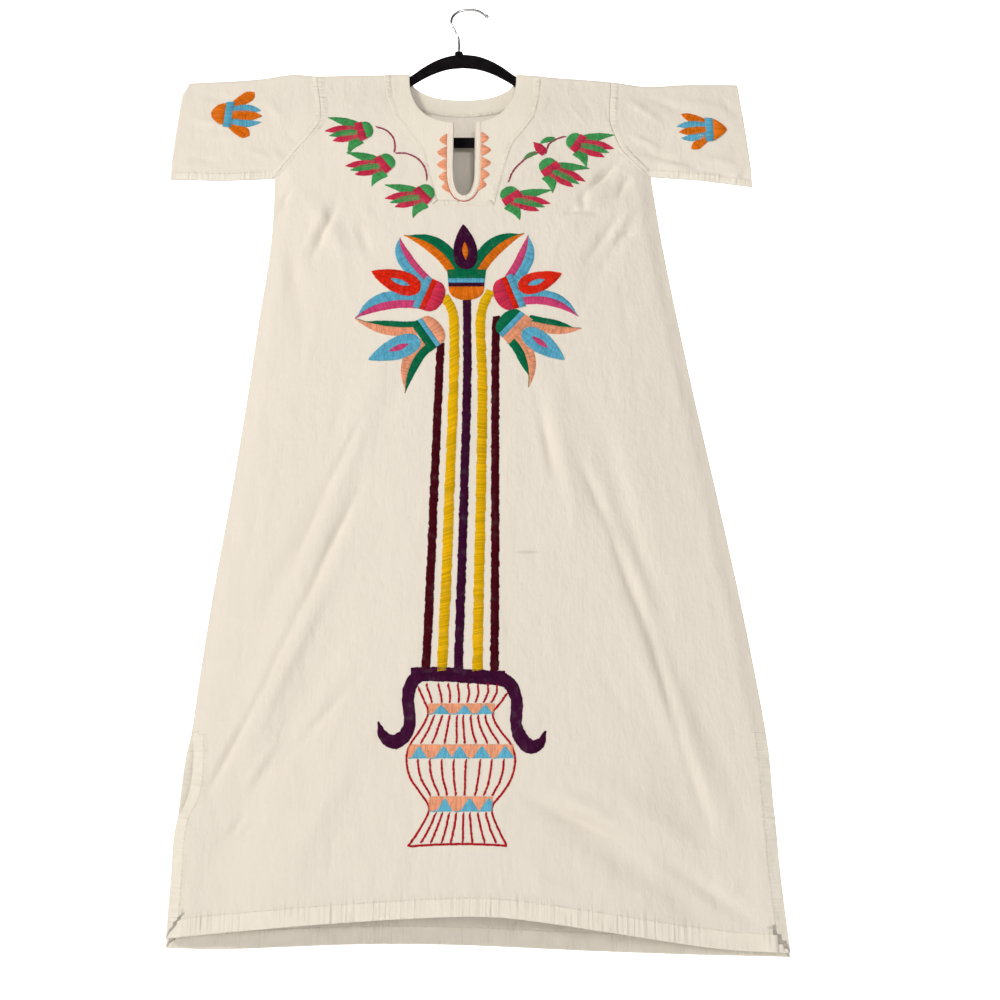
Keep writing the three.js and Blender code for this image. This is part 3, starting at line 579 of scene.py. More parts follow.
def body_half(side, hand):
    """Places x, d of one half panel, distance to its nearest sewn or cut edge, the attributes of
    the hem, the seam and the way along them, and the first row on the middle line."""
    hole = armhole[hand]
    side_edge = right_edge if hand > 0 else left_edge[side]
    level = UNDERARM_Z[hand]
    armhole_line = down(hole, float(top_line(hole(ARMHOLE_TOP_Z))), level, 60)
    side_line = down(side_edge, level, float(hem_line[side](side_edge(-1350.0))))
    if side == FRONT:
        neck = neck_quarter(FRONT_NECK, hand, middle=SLIT_X + hand * SLIT_HALF)
        inner = [neck, slit_side(hand)]
        outer = [armhole_line, *split(side_line, SLIT_PART)]
        plans = [(TOP_STEPS, PLAIN_STEPS, 44), (PLAIN_STEPS, PLAIN_STEPS, 32)]
        middle_x, middle_z = SLIT_X, SLIT_BOTTOM_Z
    else:
        inner = [neck_quarter(BACK_NECK, hand)]
        outer = [armhole_line, side_line]
        plans = [(TOP_STEPS, PLAIN_STEPS, 40)]
        middle_x, middle_z = 0.0, BACK_NECK[0]
    inner.append(down(lambda z: middle_x, middle_z, float(hem_line[side](middle_x))))
    plans.append((PLAIN_STEPS, HEM_STEPS, 184))
    x, d, from_inner, from_outer, part = ruled(inner, outer, plans, PANEL_COLUMNS[side])
    last = len(plans) - 1
    share = np.clip(part - last, 0, 1)[:, None]
    d = d + share * (top_line(x[-1]) - hem_line[side](x[-1]) - d[-1])
    z = top_line(x) - d
    above_hem = z - hem_line[side](x)
    off_middle = part[:, None] <= last
    edge = np.minimum(np.minimum(from_outer, np.where(off_middle, from_inner, AWAY)), above_hem)
    bottom, side_turn = above_hem / HEM_WIDTH, np.where(z < SLIT_TOP_Z, from_outer / SIDE_HEM, AWAY)
    along = np.where((bottom < side_turn) & (bottom < 9), x, z)
    seam = np.where(part[:, None] <= 1, from_outer, AWAY)
    return x, d, edge, np.minimum(bottom, side_turn), seam, along, int(np.argmax(part >= last))


def outward(points, faces, side):
    """The faces turned so that those of this side look away from the middle plane."""
    a, b, c = (points[faces[:, k]] for k in range(3))
    facing = np.cross(b - a, c - a)[:, 1].sum() * side
    return faces if facing > 0 else faces[:, ::-1]


def compact(faces, *values):
    """Leaves out the points that no face uses."""
    used, renumbered = np.unique(faces, return_inverse=True)
    return [renumbered.reshape(faces.shape)] + [v[used] for v in values]


def body_panel(name, side):
    """Two halves as one wall. The right half uses the left half's points on the middle line."""
    halves = [body_half(side, hand) for hand in (LEFT, RIGHT)]
    rows, columns = halves[0][0].shape
    index = [np.arange(rows * columns).reshape(rows, columns) + k * rows * columns for k in (0, 1)]
    joined = halves[0][6]
    index[1][joined:, -1] = index[0][joined:, -1]
    faces = []
    for k, number in enumerate(index):
        corners = [number[:-1, :-1], number[:-1, 1:], number[1:, 1:], number[1:, :-1]]
        quads = np.stack(corners, -1).reshape(-1, 4)
        faces.append(quads if k else quads[:, ::-1])
    values = [np.concatenate([half[k].ravel() for half in halves]) for k in range(6)]
    faces, x, d, edge, hem, seam, along = compact(np.concatenate(faces), *values)
    low, high = rolled(edge, 0.0, THIN)
    near, far = lay(side, x, d, low), lay(side, x, d, high)
    panel = wall(name, near, far, outward(far, faces, side))
    sewing_attributes(panel, hem, seam, along)
    print(name, "has", len(panel.data.polygons), "faces")
    return panel


front_cloth = body_panel("front_cloth", FRONT)
back_cloth = body_panel("back_cloth", BACK)

# %% [markdown]
# ## Sleeves
# A sleeve is a short tube, folded flat along its top and its lower edge. Its grid goes up the
# front, over the shoulder fold and down the back, and closes at the lower fold. Its first column
# follows the armhole and its last one the cuff.

# %% Sleeves
SLEEVE_CUFF = {LEFT: (-416.0, -428.0), RIGHT: (410.0, 425.0)}  # x of the cuff's top and bottom
CORNER_IN = {LEFT: 7.0, RIGHT: 0.0}  # how far the cuff's upper corner is drawn in
CUFF_SLANT = 160.0
FELL = 8.0  # width of the felled seam at the armhole
UNDER_SEAM = 10.0  # the stitch line above the sleeve's lower fold
SLEEVE_REACH = 170.0


def sleeve_tube(name, hand):
    """For the share s of the sleeve's height and the share v of its length, x and z are settled
    together in a few rounds, because the armhole and the cuff are curves of z."""
    down_share = spread(CUFF_SLANT, TOP_STEPS, EDGE_STEPS, 44) / CUFF_SLANT
    along_share = spread(SLEEVE_REACH, EDGE_STEPS, HEM_STEPS, 40) / SLEEVE_REACH
    s, v = np.meshgrid(down_share, along_share, indexing="ij")
    top_x, bottom_x = SLEEVE_CUFF[hand]
    start = float(top_line(top_x))
    x = np.full(s.shape, top_x)
    for settle in range(12):
        height = top_line(x) - sleeve_fold(x)
        z = top_line(x) - s * height
        hole = armhole[hand](z) + hand * SEAM
        cuff = top_x + np.clip((start - z) / CUFF_SLANT, 0, 1) * (bottom_x - top_x)
        cuff = cuff + CORNER_IN[hand] * (1 - ease((start - z) / 25))
        x = hole + v * (cuff - hole)
    from_cuff, from_hole = np.abs(cuff - x), np.abs(x - hole)
    edge = np.minimum(np.minimum(from_cuff, from_hole), (1 - s) * height)
    low, high = rolled(edge, 0.0, THIN)
    d = top_line(x) - z
    layers = []
    for away in (low, high):
        front, back = lay(FRONT, x, d, away), lay(BACK, x, d, away)
        layers.append(np.concatenate([front[::-1], back]).reshape(-1, 3))
    rows, columns = x.shape
    faces = grid_faces(2 * rows, columns, around=True)
    front_faces = faces[: (rows - 1) * (columns - 1)]
    if outward(layers[1], front_faces, FRONT) is not front_faces:
        faces = faces[:, ::-1]
    tube = wall(name, layers[0], layers[1], faces)
    under = (1 - s) * height / UNDER_SEAM
    turned = from_hole / FELL
    along = np.where(under < turned, x, z)
    values = np.minimum(turned, under), from_hole, along
    sewing_attributes(tube, *(np.concatenate([value[::-1], value]) for value in values))
    return tube


sleeve_left_cloth = sleeve_tube("sleeve_left_cloth", LEFT)
sleeve_right_cloth = sleeve_tube("sleeve_right_cloth", RIGHT)

# %% [markdown]
# ## Facings and binding
# The outer facing is a second layer of cloth round the neck that runs down into a bib. The slit
# in the bib is finished with a binding: a folded strip that wraps over the raw edge. Inside the
# back neck a narrow facing is turned in and stitched down.

# %% Facings of two halves
def facing_of_halves(name, side, half, levels, hem):
    """A wall of two halves that meet on the middle line. `half` gives for a hand x, d, the
    distance to any edge, the distance to the sewn edge and the place along it. Points of the
    two halves that coincide become one."""
    layers, sewn, along, faces, count = [[], []], [], [], [], 0
    for hand in (LEFT, RIGHT):
        x, d, edge, sewn_edge, way = half(hand)
        for layer, away in zip(layers, rolled(edge, *levels)):
            layer.append(lay(side, x, d, away).reshape(-1, 3))
        faces.append(outward(np.concatenate(layers[1]), grid_faces(*x.shape, first=count), side))
        sewn.append(sewn_edge.ravel())
        along.append(way.ravel())
        count += x.size
    near, far = (np.concatenate(layer) for layer in layers)
    first, which = np.unique(np.round(far, 7), axis=0, return_index=True, return_inverse=True)[1:]
    faces = first[which.ravel()[np.concatenate(faces)]]
    values = near, far, np.concatenate(sewn), np.concatenate(along)
    faces, near, far, edge, along = compact(faces, *values)
    piece = wall(name, near, far, faces)
    sewing_attributes(piece, edge / hem, np.full(len(far), AWAY), along)
    return piece


# %% Neck facing
FACING_LOW, FACING_HIGH = 1.2, 1.8  # its faces, outside the inner face of the front
FACING_SHOULDER = 112.0  # the part of its outer edge that faces the neck
FACING_CORNER = 14.0  # and the part, at its end, that faces the middle line


def facing_middle(z):
    """x of the facing's middle line, which moves from the neck's to the slit's."""
    return SLIT_X * ease((-120 - z) / 90)


def facing_half_width(z):
    """From the facing's middle line to its outer edge."""
    return np.interp(-z, -FACING_EDGE[:, 0], FACING_EDGE[:, 1])


def neck_facing_half(hand):
    """From the neck and the slit out to the facing's edge, and down to its lower edge."""
    z = np.linspace(SHOULDER_Z, FACING_BOTTOM_Z, 160)
    outer = with_depth(np.stack([facing_middle(z) + hand * facing_half_width(z), z], -1))
    first, rest = split(outer, FACING_SHOULDER)
    second, third = split(rest, length_of(rest) - FACING_CORNER)
    neck = neck_quarter(FRONT_NECK, hand, middle=SLIT_X + hand * SLIT_HALF)
    centre = down(lambda z: SLIT_X, SLIT_BOTTOM_Z, FACING_BOTTOM_Z, 9)
    plans = [(TOP_STEPS, PLAIN_STEPS, 40), (PLAIN_STEPS, PLAIN_STEPS, 34), (PLAIN_STEPS, EDGE_STEPS, 5)]
    inner, outer = [neck, slit_side(hand), centre], [first, second, third]
    x, d, from_inner, from_outer, part = ruled(inner, outer, plans, 16)
    level = top_line(x) - d - FACING_BOTTOM_Z
    sewn = np.minimum(from_outer, level)
    edge = np.minimum(sewn, np.where(part[:, None] <= 2, from_inner, AWAY))
    return x, d, edge, sewn, np.where(level < from_outer, x, top_line(x) - d)


neck_facing_cloth = facing_of_halves(
    "neck_facing_cloth", FRONT, neck_facing_half, (FACING_LOW, FACING_HIGH), 6.0)

# %% Slit binding
BINDING_FACE = np.array([  # distance out from the slit's edge and height, over the strip's outside
    (8.0, 2.0), (7.7, 2.3), (6.6, 2.5), (4.0, 2.6), (1.6, 2.5), (0.3, 2.3), (-0.7, 1.8),
    (-0.95, 1.0), (-0.7, 0.0), (0.2, -0.6), (2.0, -0.75), (6.5, -0.6)])
BINDING_UNDER = np.array([  # the same places on its underside
    (8.0, 1.88), (7.6, 1.88), (6.5, 1.88), (4.0, 1.9), (1.6, 1.9), (0.4, 1.86), (-0.25, 1.6),
    (-0.4, 1.0), (-0.25, 0.3), (0.4, -0.08), (2.0, -0.12), (6.5, -0.15)])


BINDING_STEPS = 70  # places down one side of the slit
BINDING_ROWS = 2 * BINDING_STEPS - 1


def slit_binding():
    """The strip's section carried down one side of the slit and up the other."""
    layers = []
    for profile in (BINDING_UNDER, BINDING_FACE):
        lines = []
        for grow, height in profile:
            sides = [slit_side(hand, grow) for hand in (LEFT, RIGHT)]
            left, right = (resample(line, np.linspace(0, length_of(line), BINDING_STEPS)) for line in sides)
            line = np.concatenate([left, right[-2::-1]])
            lines.append(lay(FRONT, line[:, 0], line[:, 1], height))
        layers.append(np.stack(lines, 1).reshape(-1, 3))
    faces = grid_faces(BINDING_ROWS, len(BINDING_FACE))
    top = faces.reshape(BINDING_ROWS - 1, -1, 4)[:, 3]
    if outward(layers[1], top, FRONT) is not top:
        faces = faces[:, ::-1]
    piece = wall("slit_binding_cloth", layers[0], layers[1], faces)
    hem = np.tile(BINDING_FACE[:, 0] / 3 + 1, BINDING_ROWS)
    along = np.repeat(np.arange(BINDING_ROWS) * 2.0, len(BINDING_FACE))
    sewing_attributes(piece, hem, np.full(len(hem), AWAY), along)
    return piece


slit_binding_cloth = slit_binding()


# %% Back neck facing
BACK_FACING_LOW, BACK_FACING_HIGH = -1.0, -0.12
BACK_FACING_DROP = 6.0


def back_facing_half(hand):
    """Between the back neck's curve and the same curve grown by the facing's width."""
    lines = [neck_quarter(BACK_NECK, hand, grow) for grow in (0.0, BACK_FACING_WIDTH)]
    lines = [line[line[:, 1] >= BACK_FACING_DROP] for line in lines]
    plans = [(PLAIN_STEPS, PLAIN_STEPS, 60)]
    x, d, from_inner, from_outer = ruled(lines[:1], lines[1:], plans, 8)[:4]
    return x, d, np.minimum(from_inner, from_outer), from_outer, x


back_neck_facing_cloth = facing_of_halves(
    "back_neck_facing_cloth", BACK, back_facing_half, (BACK_FACING_LOW, BACK_FACING_HIGH), 4.0)

# %% [markdown]
# ## Hanger and hook
# The hanger is a thin moulded loop flocked with velvet. Its section is a rounded bar that runs
# between an outer and an inner outline. The hook is one bent wire with a ball at its tip, made as
# a circle carried along the wire's line, whose radius swells into the ball at the end.

# %% Hanger
HANGER_HALF_THICK = 2.5
HANGER_LOOP = np.array([  # outer x, z and inner x, z, from the top middle to the bar
    (0, -76, 0, -99), (20, -78.5, 20, -101), (40, -86, 40, -107.5), (60, -98.5, 60, -118),
    (80, -114.1, 80, -131), (130, -139, 130, -155), (170, -156, 168, -171.5), (200, -167, 190, -180),
    (214, -174, 196, -185), (216, -184, 194, -191), (206, -200, 180, -205), (186, -219, 168, -213),
    (164, -231, 154, -216), (148, -233, 146, -216.5), (75, -233, 75, -216.5), (0, -233, 0, -216.5)], float)


def smooth_line(points, per_step=8):
    """Hermite curve through points, by chord length."""
    points = np.asarray(points, float)
    chord = np.concatenate([[0], np.cumsum(np.linalg.norm(np.diff(points[:, :2], axis=0), axis=1))])
    table = np.column_stack([chord, points])
    at = np.interp(np.arange((len(points) - 1) * per_step + 1) / per_step, np.arange(len(points)), chord)
    return np.stack([curve(table, k + 1)(at) for k in range(points.shape[1])], -1)


def rounded_ring(count, power):
    """Directions round a rounded square: sine and cosine raised to a power below one."""
    a = np.arange(count) * 2 * math.pi / count
    return np.sign(np.cos(a)) * np.abs(np.cos(a)) ** power, np.sign(np.sin(a)) * np.abs(np.sin(a)) ** power


def tube_faces(stations, ring, closed):
    """Quads of rings of points: station i, ring place k is point i * ring + k."""
    i = np.arange(stations if closed else stations - 1)[:, None]
    k = np.arange(ring)[None, :]
    after, beside = (i + 1) % stations, (k + 1) % ring
    quads = [i * ring + k + 0 * beside, after * ring + k, after * ring + beside, i * ring + beside]
    return np.stack(quads, -1).reshape(-1, 4)


def solid_outward(points, faces):
    """Faces turned so that the volume they enclose is positive."""
    a, b, c = (points[faces[:, k]] for k in range(3))
    a2, c2, d2 = (points[faces[:, k]] for k in (0, 2, 3))
    volume = (a * np.cross(b, c)).sum() + (a2 * np.cross(c2, d2)).sum()
    return faces if volume > 0 else faces[:, ::-1]


def make_hanger():
    """The rounded section carried round the loop: half of its outline and the mirrored half."""
    half = smooth_line(HANGER_LOOP)
    mirrored = half[-2:0:-1] * np.array([-1, 1, -1, 1])
    loop = np.concatenate([half, mirrored])
    middle = (loop[:, :2] + loop[:, 2:]) / 2
    reach = (loop[:, :2] - loop[:, 2:]) / 2
    u, v = rounded_ring(24, 0.62)
    plane = middle[:, None] + reach[:, None] * u[None, :, None]
    y = np.broadcast_to(HANGER_HALF_THICK * v, plane.shape[:2])
    points = np.stack([plane[..., 0] + DRESS_X, y, plane[..., 1]], -1).reshape(-1, 3) * MM
    faces = tube_faces(len(loop), 24, True)
    return mesh_object("velvet_hanger", points, solid_outward(points, faces))


velvet_hanger = make_hanger()

# %% Hook and collar
HOOK_LINE = np.array([
    (-13.5, -70.7), (-13.5, -58), (-15, -45), (-20.5, -33), (-25, -23), (-24, -11), (-14.5, -1.5),
    (0, 2), (15, 0), (27, -8)], float)
WIRE_RADIUS = 2.0
TIP_RADIUS = 3.2
COLLAR = (-13.5, -71.0, 6.0)  # x, top and half width


def make_tube(name, line, radius, ring=16):
    """A circle of the given radii carried along a line in the middle plane, closed by its ends,
    where the radius is nearly nothing."""
    tangent = np.gradient(line, axis=0)
    tangent /= np.linalg.norm(tangent, axis=1, keepdims=True)
    side = np.stack([-tangent[:, 1], tangent[:, 0]], -1)
    a = np.arange(ring) * 2 * math.pi / ring
    plane = line[:, None] + side[:, None] * (radius[:, None] * np.cos(a))[..., None]
    y = radius[:, None] * np.sin(a)
    points = np.stack([plane[..., 0], y, plane[..., 1]], -1).reshape(-1, 3) * MM
    return mesh_object(name, points, solid_outward(points, tube_faces(len(line), ring, False)))


def close_ends(thing):
    """A face over each open end of a tube."""
    mesh = bmesh.new()
    mesh.from_mesh(thing.data)
    bmesh.ops.holes_fill(mesh, edges=[edge for edge in mesh.edges if edge.is_boundary], sides=0)
    bmesh.ops.recalc_face_normals(mesh, faces=mesh.faces)
    mesh.to_mesh(thing.data)
    mesh.free()


def make_hook():
    """The wire on a smooth curve. Its radius at the tip is that of a sphere about `centre`."""
    line = smooth_line(HOOK_LINE, 10)
    ahead = (line[-1] - line[-2]) / np.linalg.norm(line[-1] - line[-2])
    line = np.concatenate([line, line[-1] + ahead * np.linspace(0.4, 2 * TIP_RADIUS - 1.2, 12)[:, None]])
    centre = line[-1] - ahead * TIP_RADIUS
    to_centre = np.linalg.norm(line - centre, axis=1)
    ball = np.sqrt(np.clip(TIP_RADIUS**2 - to_centre**2, 1e-4, None))
    past = (line - centre) @ ahead > 0
    radius = np.where(past, ball, np.maximum(ball, WIRE_RADIUS))
    hook = make_tube("wire_hook", line, radius)
    close_ends(hook)
    return hook


def make_collar():
    """A rounded block from the hanger's top up to the wire, wider at its foot."""
    x, top, half = COLLAR
    z = np.array([top - 12, top - 8, top - 3, top - 1, top - 0.3, top])
    width = np.array([1.6, 1.15, 1.0, 0.95, 0.8, 0.4]) * half
    thick = np.array([1.0, 1.0, 1.0, 0.95, 0.8, 0.4]) * HANGER_HALF_THICK
    u, v = rounded_ring(24, 0.7)
    points = np.stack([x + width[:, None] * u, thick[:, None] * v, z[:, None] + 0 * u], -1)
    points = points.reshape(-1, 3) * MM
    collar = mesh_object("hanger_collar", points, solid_outward(points, tube_faces(len(z), 24, False)))
    close_ends(collar)
    return collar


wire_hook = make_hook()
hanger_collar = make_collar()

# %% [markdown]
# ## Materials
# Plain cotton is matt, slightly warm, and alive with small faults: thicker threads, folds that
# never pressed out, and a double layer where it is hemmed. One node group holds the weave and
# the hem, so the body, the sleeves and the facings share it with their own colours.


# %% Node helpers
def new_group(name, inputs, outputs):
    """An empty shader group. Inputs are (name, type, value), outputs (name, type)."""
    group = bpy.data.node_groups.new(name, "ShaderNodeTree")
    for label, kind, value in inputs:
        socket = group.interface.new_socket(label, in_out="INPUT", socket_type=kind)
        socket.default_value = value
    for label, kind in outputs:
        group.interface.new_socket(label, in_out="OUTPUT", socket_type=kind)
    return group, group.nodes.new("NodeGroupInput"), group.nodes.new("NodeGroupOutput")


def give(tree, made, **values):
    """Sets a node's inputs to values or to other nodes' outputs. A name's underscores are
    spaces, and i0, i1 and so on name the inputs by number."""
    for key, value in values.items():
        numbered = key[0] == "i" and key[1:].isdigit()
        socket = made.inputs[int(key[1:]) if numbered else key.replace("_", " ")]
        if isinstance(value, bpy.types.NodeSocket):
            tree.links.new(value, socket)
        else:
            socket.default_value = value
    return made


def node(tree, kind, settings=None, **values):
    """A node with its settings and its inputs."""
    made = tree.nodes.new(kind)
    for key, value in (settings or {}).items():
        setattr(made, key, value)
    return give(tree, made, **values)


def math_node(tree, operation, a, b=0.0, clamp=False):
    """The result of one arithmetic step."""
    settings = {"operation": operation, "use_clamp": clamp}
    return node(tree, "ShaderNodeMath", settings, i0=a, i1=b).outputs[0]


def mix_color(tree, factor, a, b):
    """Colour a, and b as far as the factor says."""
    return node(tree, "ShaderNodeMix", {"data_type": "RGBA"}, i0=factor, i6=a, i7=b).outputs[2]


def sums(tree):
    """Short names for a group's sums and products."""
    return (lambda a, b: math_node(tree, "ADD", a, b)), (lambda a, b: math_node(tree, "MULTIPLY", a, b))


def place_on(tree):
    """The place on the piece, in metres."""
    return tree.nodes.new("ShaderNodeTexCoord").outputs["Object"]


def painted(tree, name):
    """The value of an attribute of the mesh."""
    return node(tree, "ShaderNodeAttribute", {"attribute_name": name}).outputs["Fac"]


def noise(tree, vector, stretch, detail=2.0, roughness=0.5):
    """Noise over a stretched copy of the coordinates, from 0 to 1."""
    mapping = node(tree, "ShaderNodeMapping", Vector=vector, Scale=stretch)
    values = {"Scale": 1.0, "Detail": detail, "Roughness": roughness}
    return node(tree, "ShaderNodeTexNoise", Vector=mapping.outputs[0], **values).outputs["Fac"]


def ramp(tree, value, low, high):
    """0 below `low` and 1 above `high`, smooth in between."""
    settings = {"interpolation_type": "SMOOTHSTEP"}
    return node(tree, "ShaderNodeMapRange", settings, Value=value, From_Min=low, From_Max=high).outputs[0]


def linear(red, green, blue):
    """A colour of a paint card, 0 to 255, as Blender's linear colour."""
    card = np.array([red, green, blue]) / 255
    value = np.where(card <= 0.04045, card / 12.92, ((card + 0.055) / 1.055) ** 2.4)
    return (*value.tolist(), 1.0)


# %% Materials from groups
def new_material(name):
    """A material, its tree and its shader."""
    material = bpy.data.materials.new(name)
    material.use_nodes = True
    return material, material.node_tree, material.node_tree.nodes["Principled BSDF"]


def use_group(tree, shader, group, strength, distance, **values):
    """A group's colour, roughness and height in a material: the height goes through a bump."""
    made = tree.nodes.new("ShaderNodeGroup")
    made.node_tree = group
    give(tree, made, **values)
    give(tree, shader, Base_Color=made.outputs["Color"], Roughness=made.outputs["Roughness"])
    relief(tree, shader, made.outputs["Height"], strength, distance)


def relief(tree, shader, height, strength, distance):
    """A bump of the height, as high as the distance in metres."""
    bump = node(tree, "ShaderNodeBump", Strength=strength, Distance=distance, Height=height)
    give(tree, shader, Normal=bump.outputs["Normal"])


GROUP_OUTPUTS = [
    ("Color", "NodeSocketColor"), ("Roughness", "NodeSocketFloat"), ("Height", "NodeSocketFloat")]

# %% Woven cotton group
PUCKER = 5.5  # millimetres from a pucker's crest to its foot
MARK_AT = (0.085, 0, -0.850)
MARK_SCALE = (1 / 0.02, 0, 1 / 0.0035)


def cotton_group():
    """Weave: two noises stretched along the warp and along the weft. Slubs: longer, rarer ones.
    Hem: a band where the attribute is under 1, with a groove where it is 1. Puckers: noise of the
    place along the hem alone, so they lie across it. Mark: a short soft stroke on the front."""
    inputs = [("Cloth", "NodeSocketColor", (1, 1, 1, 1)), ("Hem", "NodeSocketColor", (1, 1, 1, 1)),
              ("Crumple", "NodeSocketFloat", 1.0), ("Mark", "NodeSocketFloat", 0.0)]
    tree, given, result = new_group("woven cotton", inputs, GROUP_OUTPUTS)
    plus, times = sums(tree)

    def minus(a, b, clamp=False):
        return math_node(tree, "SUBTRACT", a, b, clamp)

    def fade(value, low, high):
        return minus(1.0, ramp(tree, value, low, high), True)

    place = place_on(tree)
    hem, seam, along = (painted(tree, name) for name in ("hem", "seam", "along"))
    warp = noise(tree, place, (1500, 300, 90), 1.0)
    weft = noise(tree, place, (90, 300, 1500), 1.0)
    warp_slub = ramp(tree, noise(tree, place, (420, 60, 9), 2.0), 0.56, 0.74)
    weft_slub = ramp(tree, noise(tree, place, (8, 60, 520), 2.0), 0.6, 0.76)
    cloud = noise(tree, place, (7, 7, 5), 3.0)
    soft = noise(tree, place, (45, 20, 22), 3.0, 0.55)
    fine = noise(tree, place, (130, 60, 90), 2.0)

    band = fade(hem, 0.97, 1.02)
    groove = fade(math_node(tree, "ABSOLUTE", minus(hem, 1.0)), 0.0, 0.07)
    in_hem = fade(hem, 0.9, 1.5)
    seam_groove, near_seam = fade(seam, 0.4, 2.0), fade(seam, 2.0, 12.0)
    bars = node(tree, "ShaderNodeTexNoise", {"noise_dimensions": "1D"},
                W=times(along, 1 / PUCKER), Scale=1.0, Detail=1.0).outputs[0]
    uneven = times(bars, ramp(tree, noise(tree, place, (28, 28, 28), 1.0), 0.3, 0.6))
    puckers = times(uneven, math_node(tree, "MAXIMUM", in_hem, near_seam))
    off_mark = node(tree, "ShaderNodeVectorMath", {"operation": "SUBTRACT"}, i0=place, i1=MARK_AT).outputs[0]
    spread_mark = node(tree, "ShaderNodeVectorMath", {"operation": "MULTIPLY"}, i0=off_mark, i1=MARK_SCALE)
    from_mark = node(tree, "ShaderNodeVectorMath", {"operation": "LENGTH"}, i0=spread_mark.outputs[0])
    mark = times(minus(1.0, ramp(tree, from_mark.outputs["Value"], 0.3, 1.0)), given.outputs["Mark"])

    tone = mix_color(tree, band, given.outputs["Cloth"], given.outputs["Hem"])
    # The hem's groove and the seams' grooves are painted darker in the loop below. This is painted shade in
    # the grooves, on top of their bump.
    dark = math_node(tree, "MAXIMUM", groove, seam_groove)
    for share, strength, colour in (
        (warp_slub, 0.05, (0.6, 0.52, 0.42, 1)), (weft_slub, 0.04, (1, 0.98, 0.94, 1)),
        (ramp(tree, cloud, 0.4, 0.75), 0.07, (0.72, 0.66, 0.57, 1)),
        (dark, 0.06, (0.42, 0.36, 0.28, 1)), (mark, 0.35, (0.5, 0.42, 0.33, 1)),
    ):
        tone = mix_color(tree, times(share, strength), tone, colour)
    rough = plus(times(fine, 0.12), 0.78)

    height = times(plus(warp, weft), 0.1)
    rumple = times(plus(times(soft, 6.0), times(fine, 0.5)), given.outputs["Crumple"])
    for more in (times(warp_slub, 0.12), times(weft_slub, 0.1), rumple, times(puckers, 5.0)):
        height = plus(height, more)
    for less in (groove, seam_groove):
        height = minus(height, times(less, 0.5))
    give(tree, result, Color=tone, Roughness=rough, Height=height)
    return tree


cotton = cotton_group()


# %% Cotton of each piece
def cloth_material(name, cloth, hem, crumple, mark=0.0):
    """The shared cotton in one piece's colours, with a slight nap."""
    material, tree, shader = new_material(name)
    use_group(tree, shader, cotton, 1.0, 0.0005, Cloth=cloth, Hem=hem, Crumple=crumple, Mark=mark)
    give(tree, shader, Specular_IOR_Level=0.2, Sheen_Weight=0.1, Sheen_Roughness=0.5)
    return material


BODY, HEM = linear(236, 227, 213), linear(240, 232, 217)
FACING, BINDING = linear(240, 231, 215), linear(243, 232, 217)
COTTONS = [  # pieces, name, cloth, hem, crumple, mark
    ([front_cloth], "front cotton", BODY, HEM, 1.0, 1.0),
    ([back_cloth, sleeve_left_cloth, sleeve_right_cloth], "body cotton", BODY, HEM, 1.0),
    ([neck_facing_cloth, back_neck_facing_cloth], "facing cotton", FACING, FACING, 0.7),
    ([slit_binding_cloth], "binding cotton", BINDING, BINDING, 0.5),
]
for pieces, *finish in COTTONS:
    material = cloth_material(*finish)
    for piece in pieces:
        piece.data.materials.append(material)


# %% Velvet and wire
def velvet_material():
    """Short black pile: a rough dark base, a grey sheen towards the edges, and a fine nap."""
    material, tree, shader = new_material("black velvet")
    place = place_on(tree)
    nap = noise(tree, place, (1400, 1400, 1400), 3.0, 0.7)
    brushed = ramp(tree, noise(tree, place, (60, 60, 60), 2.0), 0.35, 0.7)
    tone = mix_color(tree, brushed, linear(9, 7, 9), linear(22, 18, 22))
    relief(tree, shader, nap, 0.7, 0.0004)
    give(tree, shader, Base_Color=tone, Roughness=0.95, Specular_IOR_Level=0.1,
         Sheen_Weight=0.25, Sheen_Roughness=0.35)
    return material


def wire_material():
    """Plated steel wire with faint drawing marks and dulled patches."""
    material, tree, shader = new_material("plated wire")
    place = place_on(tree)
    dull = noise(tree, place, (160, 160, 160), 3.0)
    tone = mix_color(tree, dull, linear(176, 174, 172), linear(208, 206, 204))
    relief(tree, shader, noise(tree, place, (900, 900, 120), 1.0), 0.15, 0.0001)
    rough = math_node(tree, "ADD", math_node(tree, "MULTIPLY", dull, 0.2), 0.12)
    give(tree, shader, Base_Color=tone, Roughness=rough, Metallic=1.0)
    return material


velvet = velvet_material()
velvet_hanger.data.materials.append(velvet)
hanger_collar.data.materials.append(velvet)
wire_hook.data.materials.append(wire_material())

# %% [markdown]
# ## Embroidery
# The flowers are worked in satin stitch: smooth threads laid side by side from one edge of a
# shape to the other. A painted flower would lie flat, so here each stitch is a small raised
# strand of its own. A shape is only two edges, and a lane of stitches fills the ground between
# them, so petals, bands and stems all come from one function.

# %% Threads and stitches
THREADS = {  # colours as on a thread card
    "maroon": (84, 0, 22),
    "purple": (70, 8, 56),
    "yellow": (250, 202, 4),
    "orange": (244, 130, 18),
    "dark green": (0, 126, 84),
    "leaf green": (78, 172, 98),
    "crimson": (226, 56, 92),
    "pink": (230, 82, 138),
    "red": (242, 44, 16),
    "light blue": (108, 194, 224),
    "peach": (254, 178, 138),
    "coral": (222, 128, 112),
    "dusty rose": (172, 70, 96),
    "vase red": (196, 16, 36),
    "cream": (244, 236, 218),
}
PITCH = 1.25  # from one satin stitch to the next
LONGEST = 12.0  # a wider shape is filled with stitches end to end
OVERLAP = 0.3  # each end runs this far under its neighbour
random = np.random.default_rng(11)


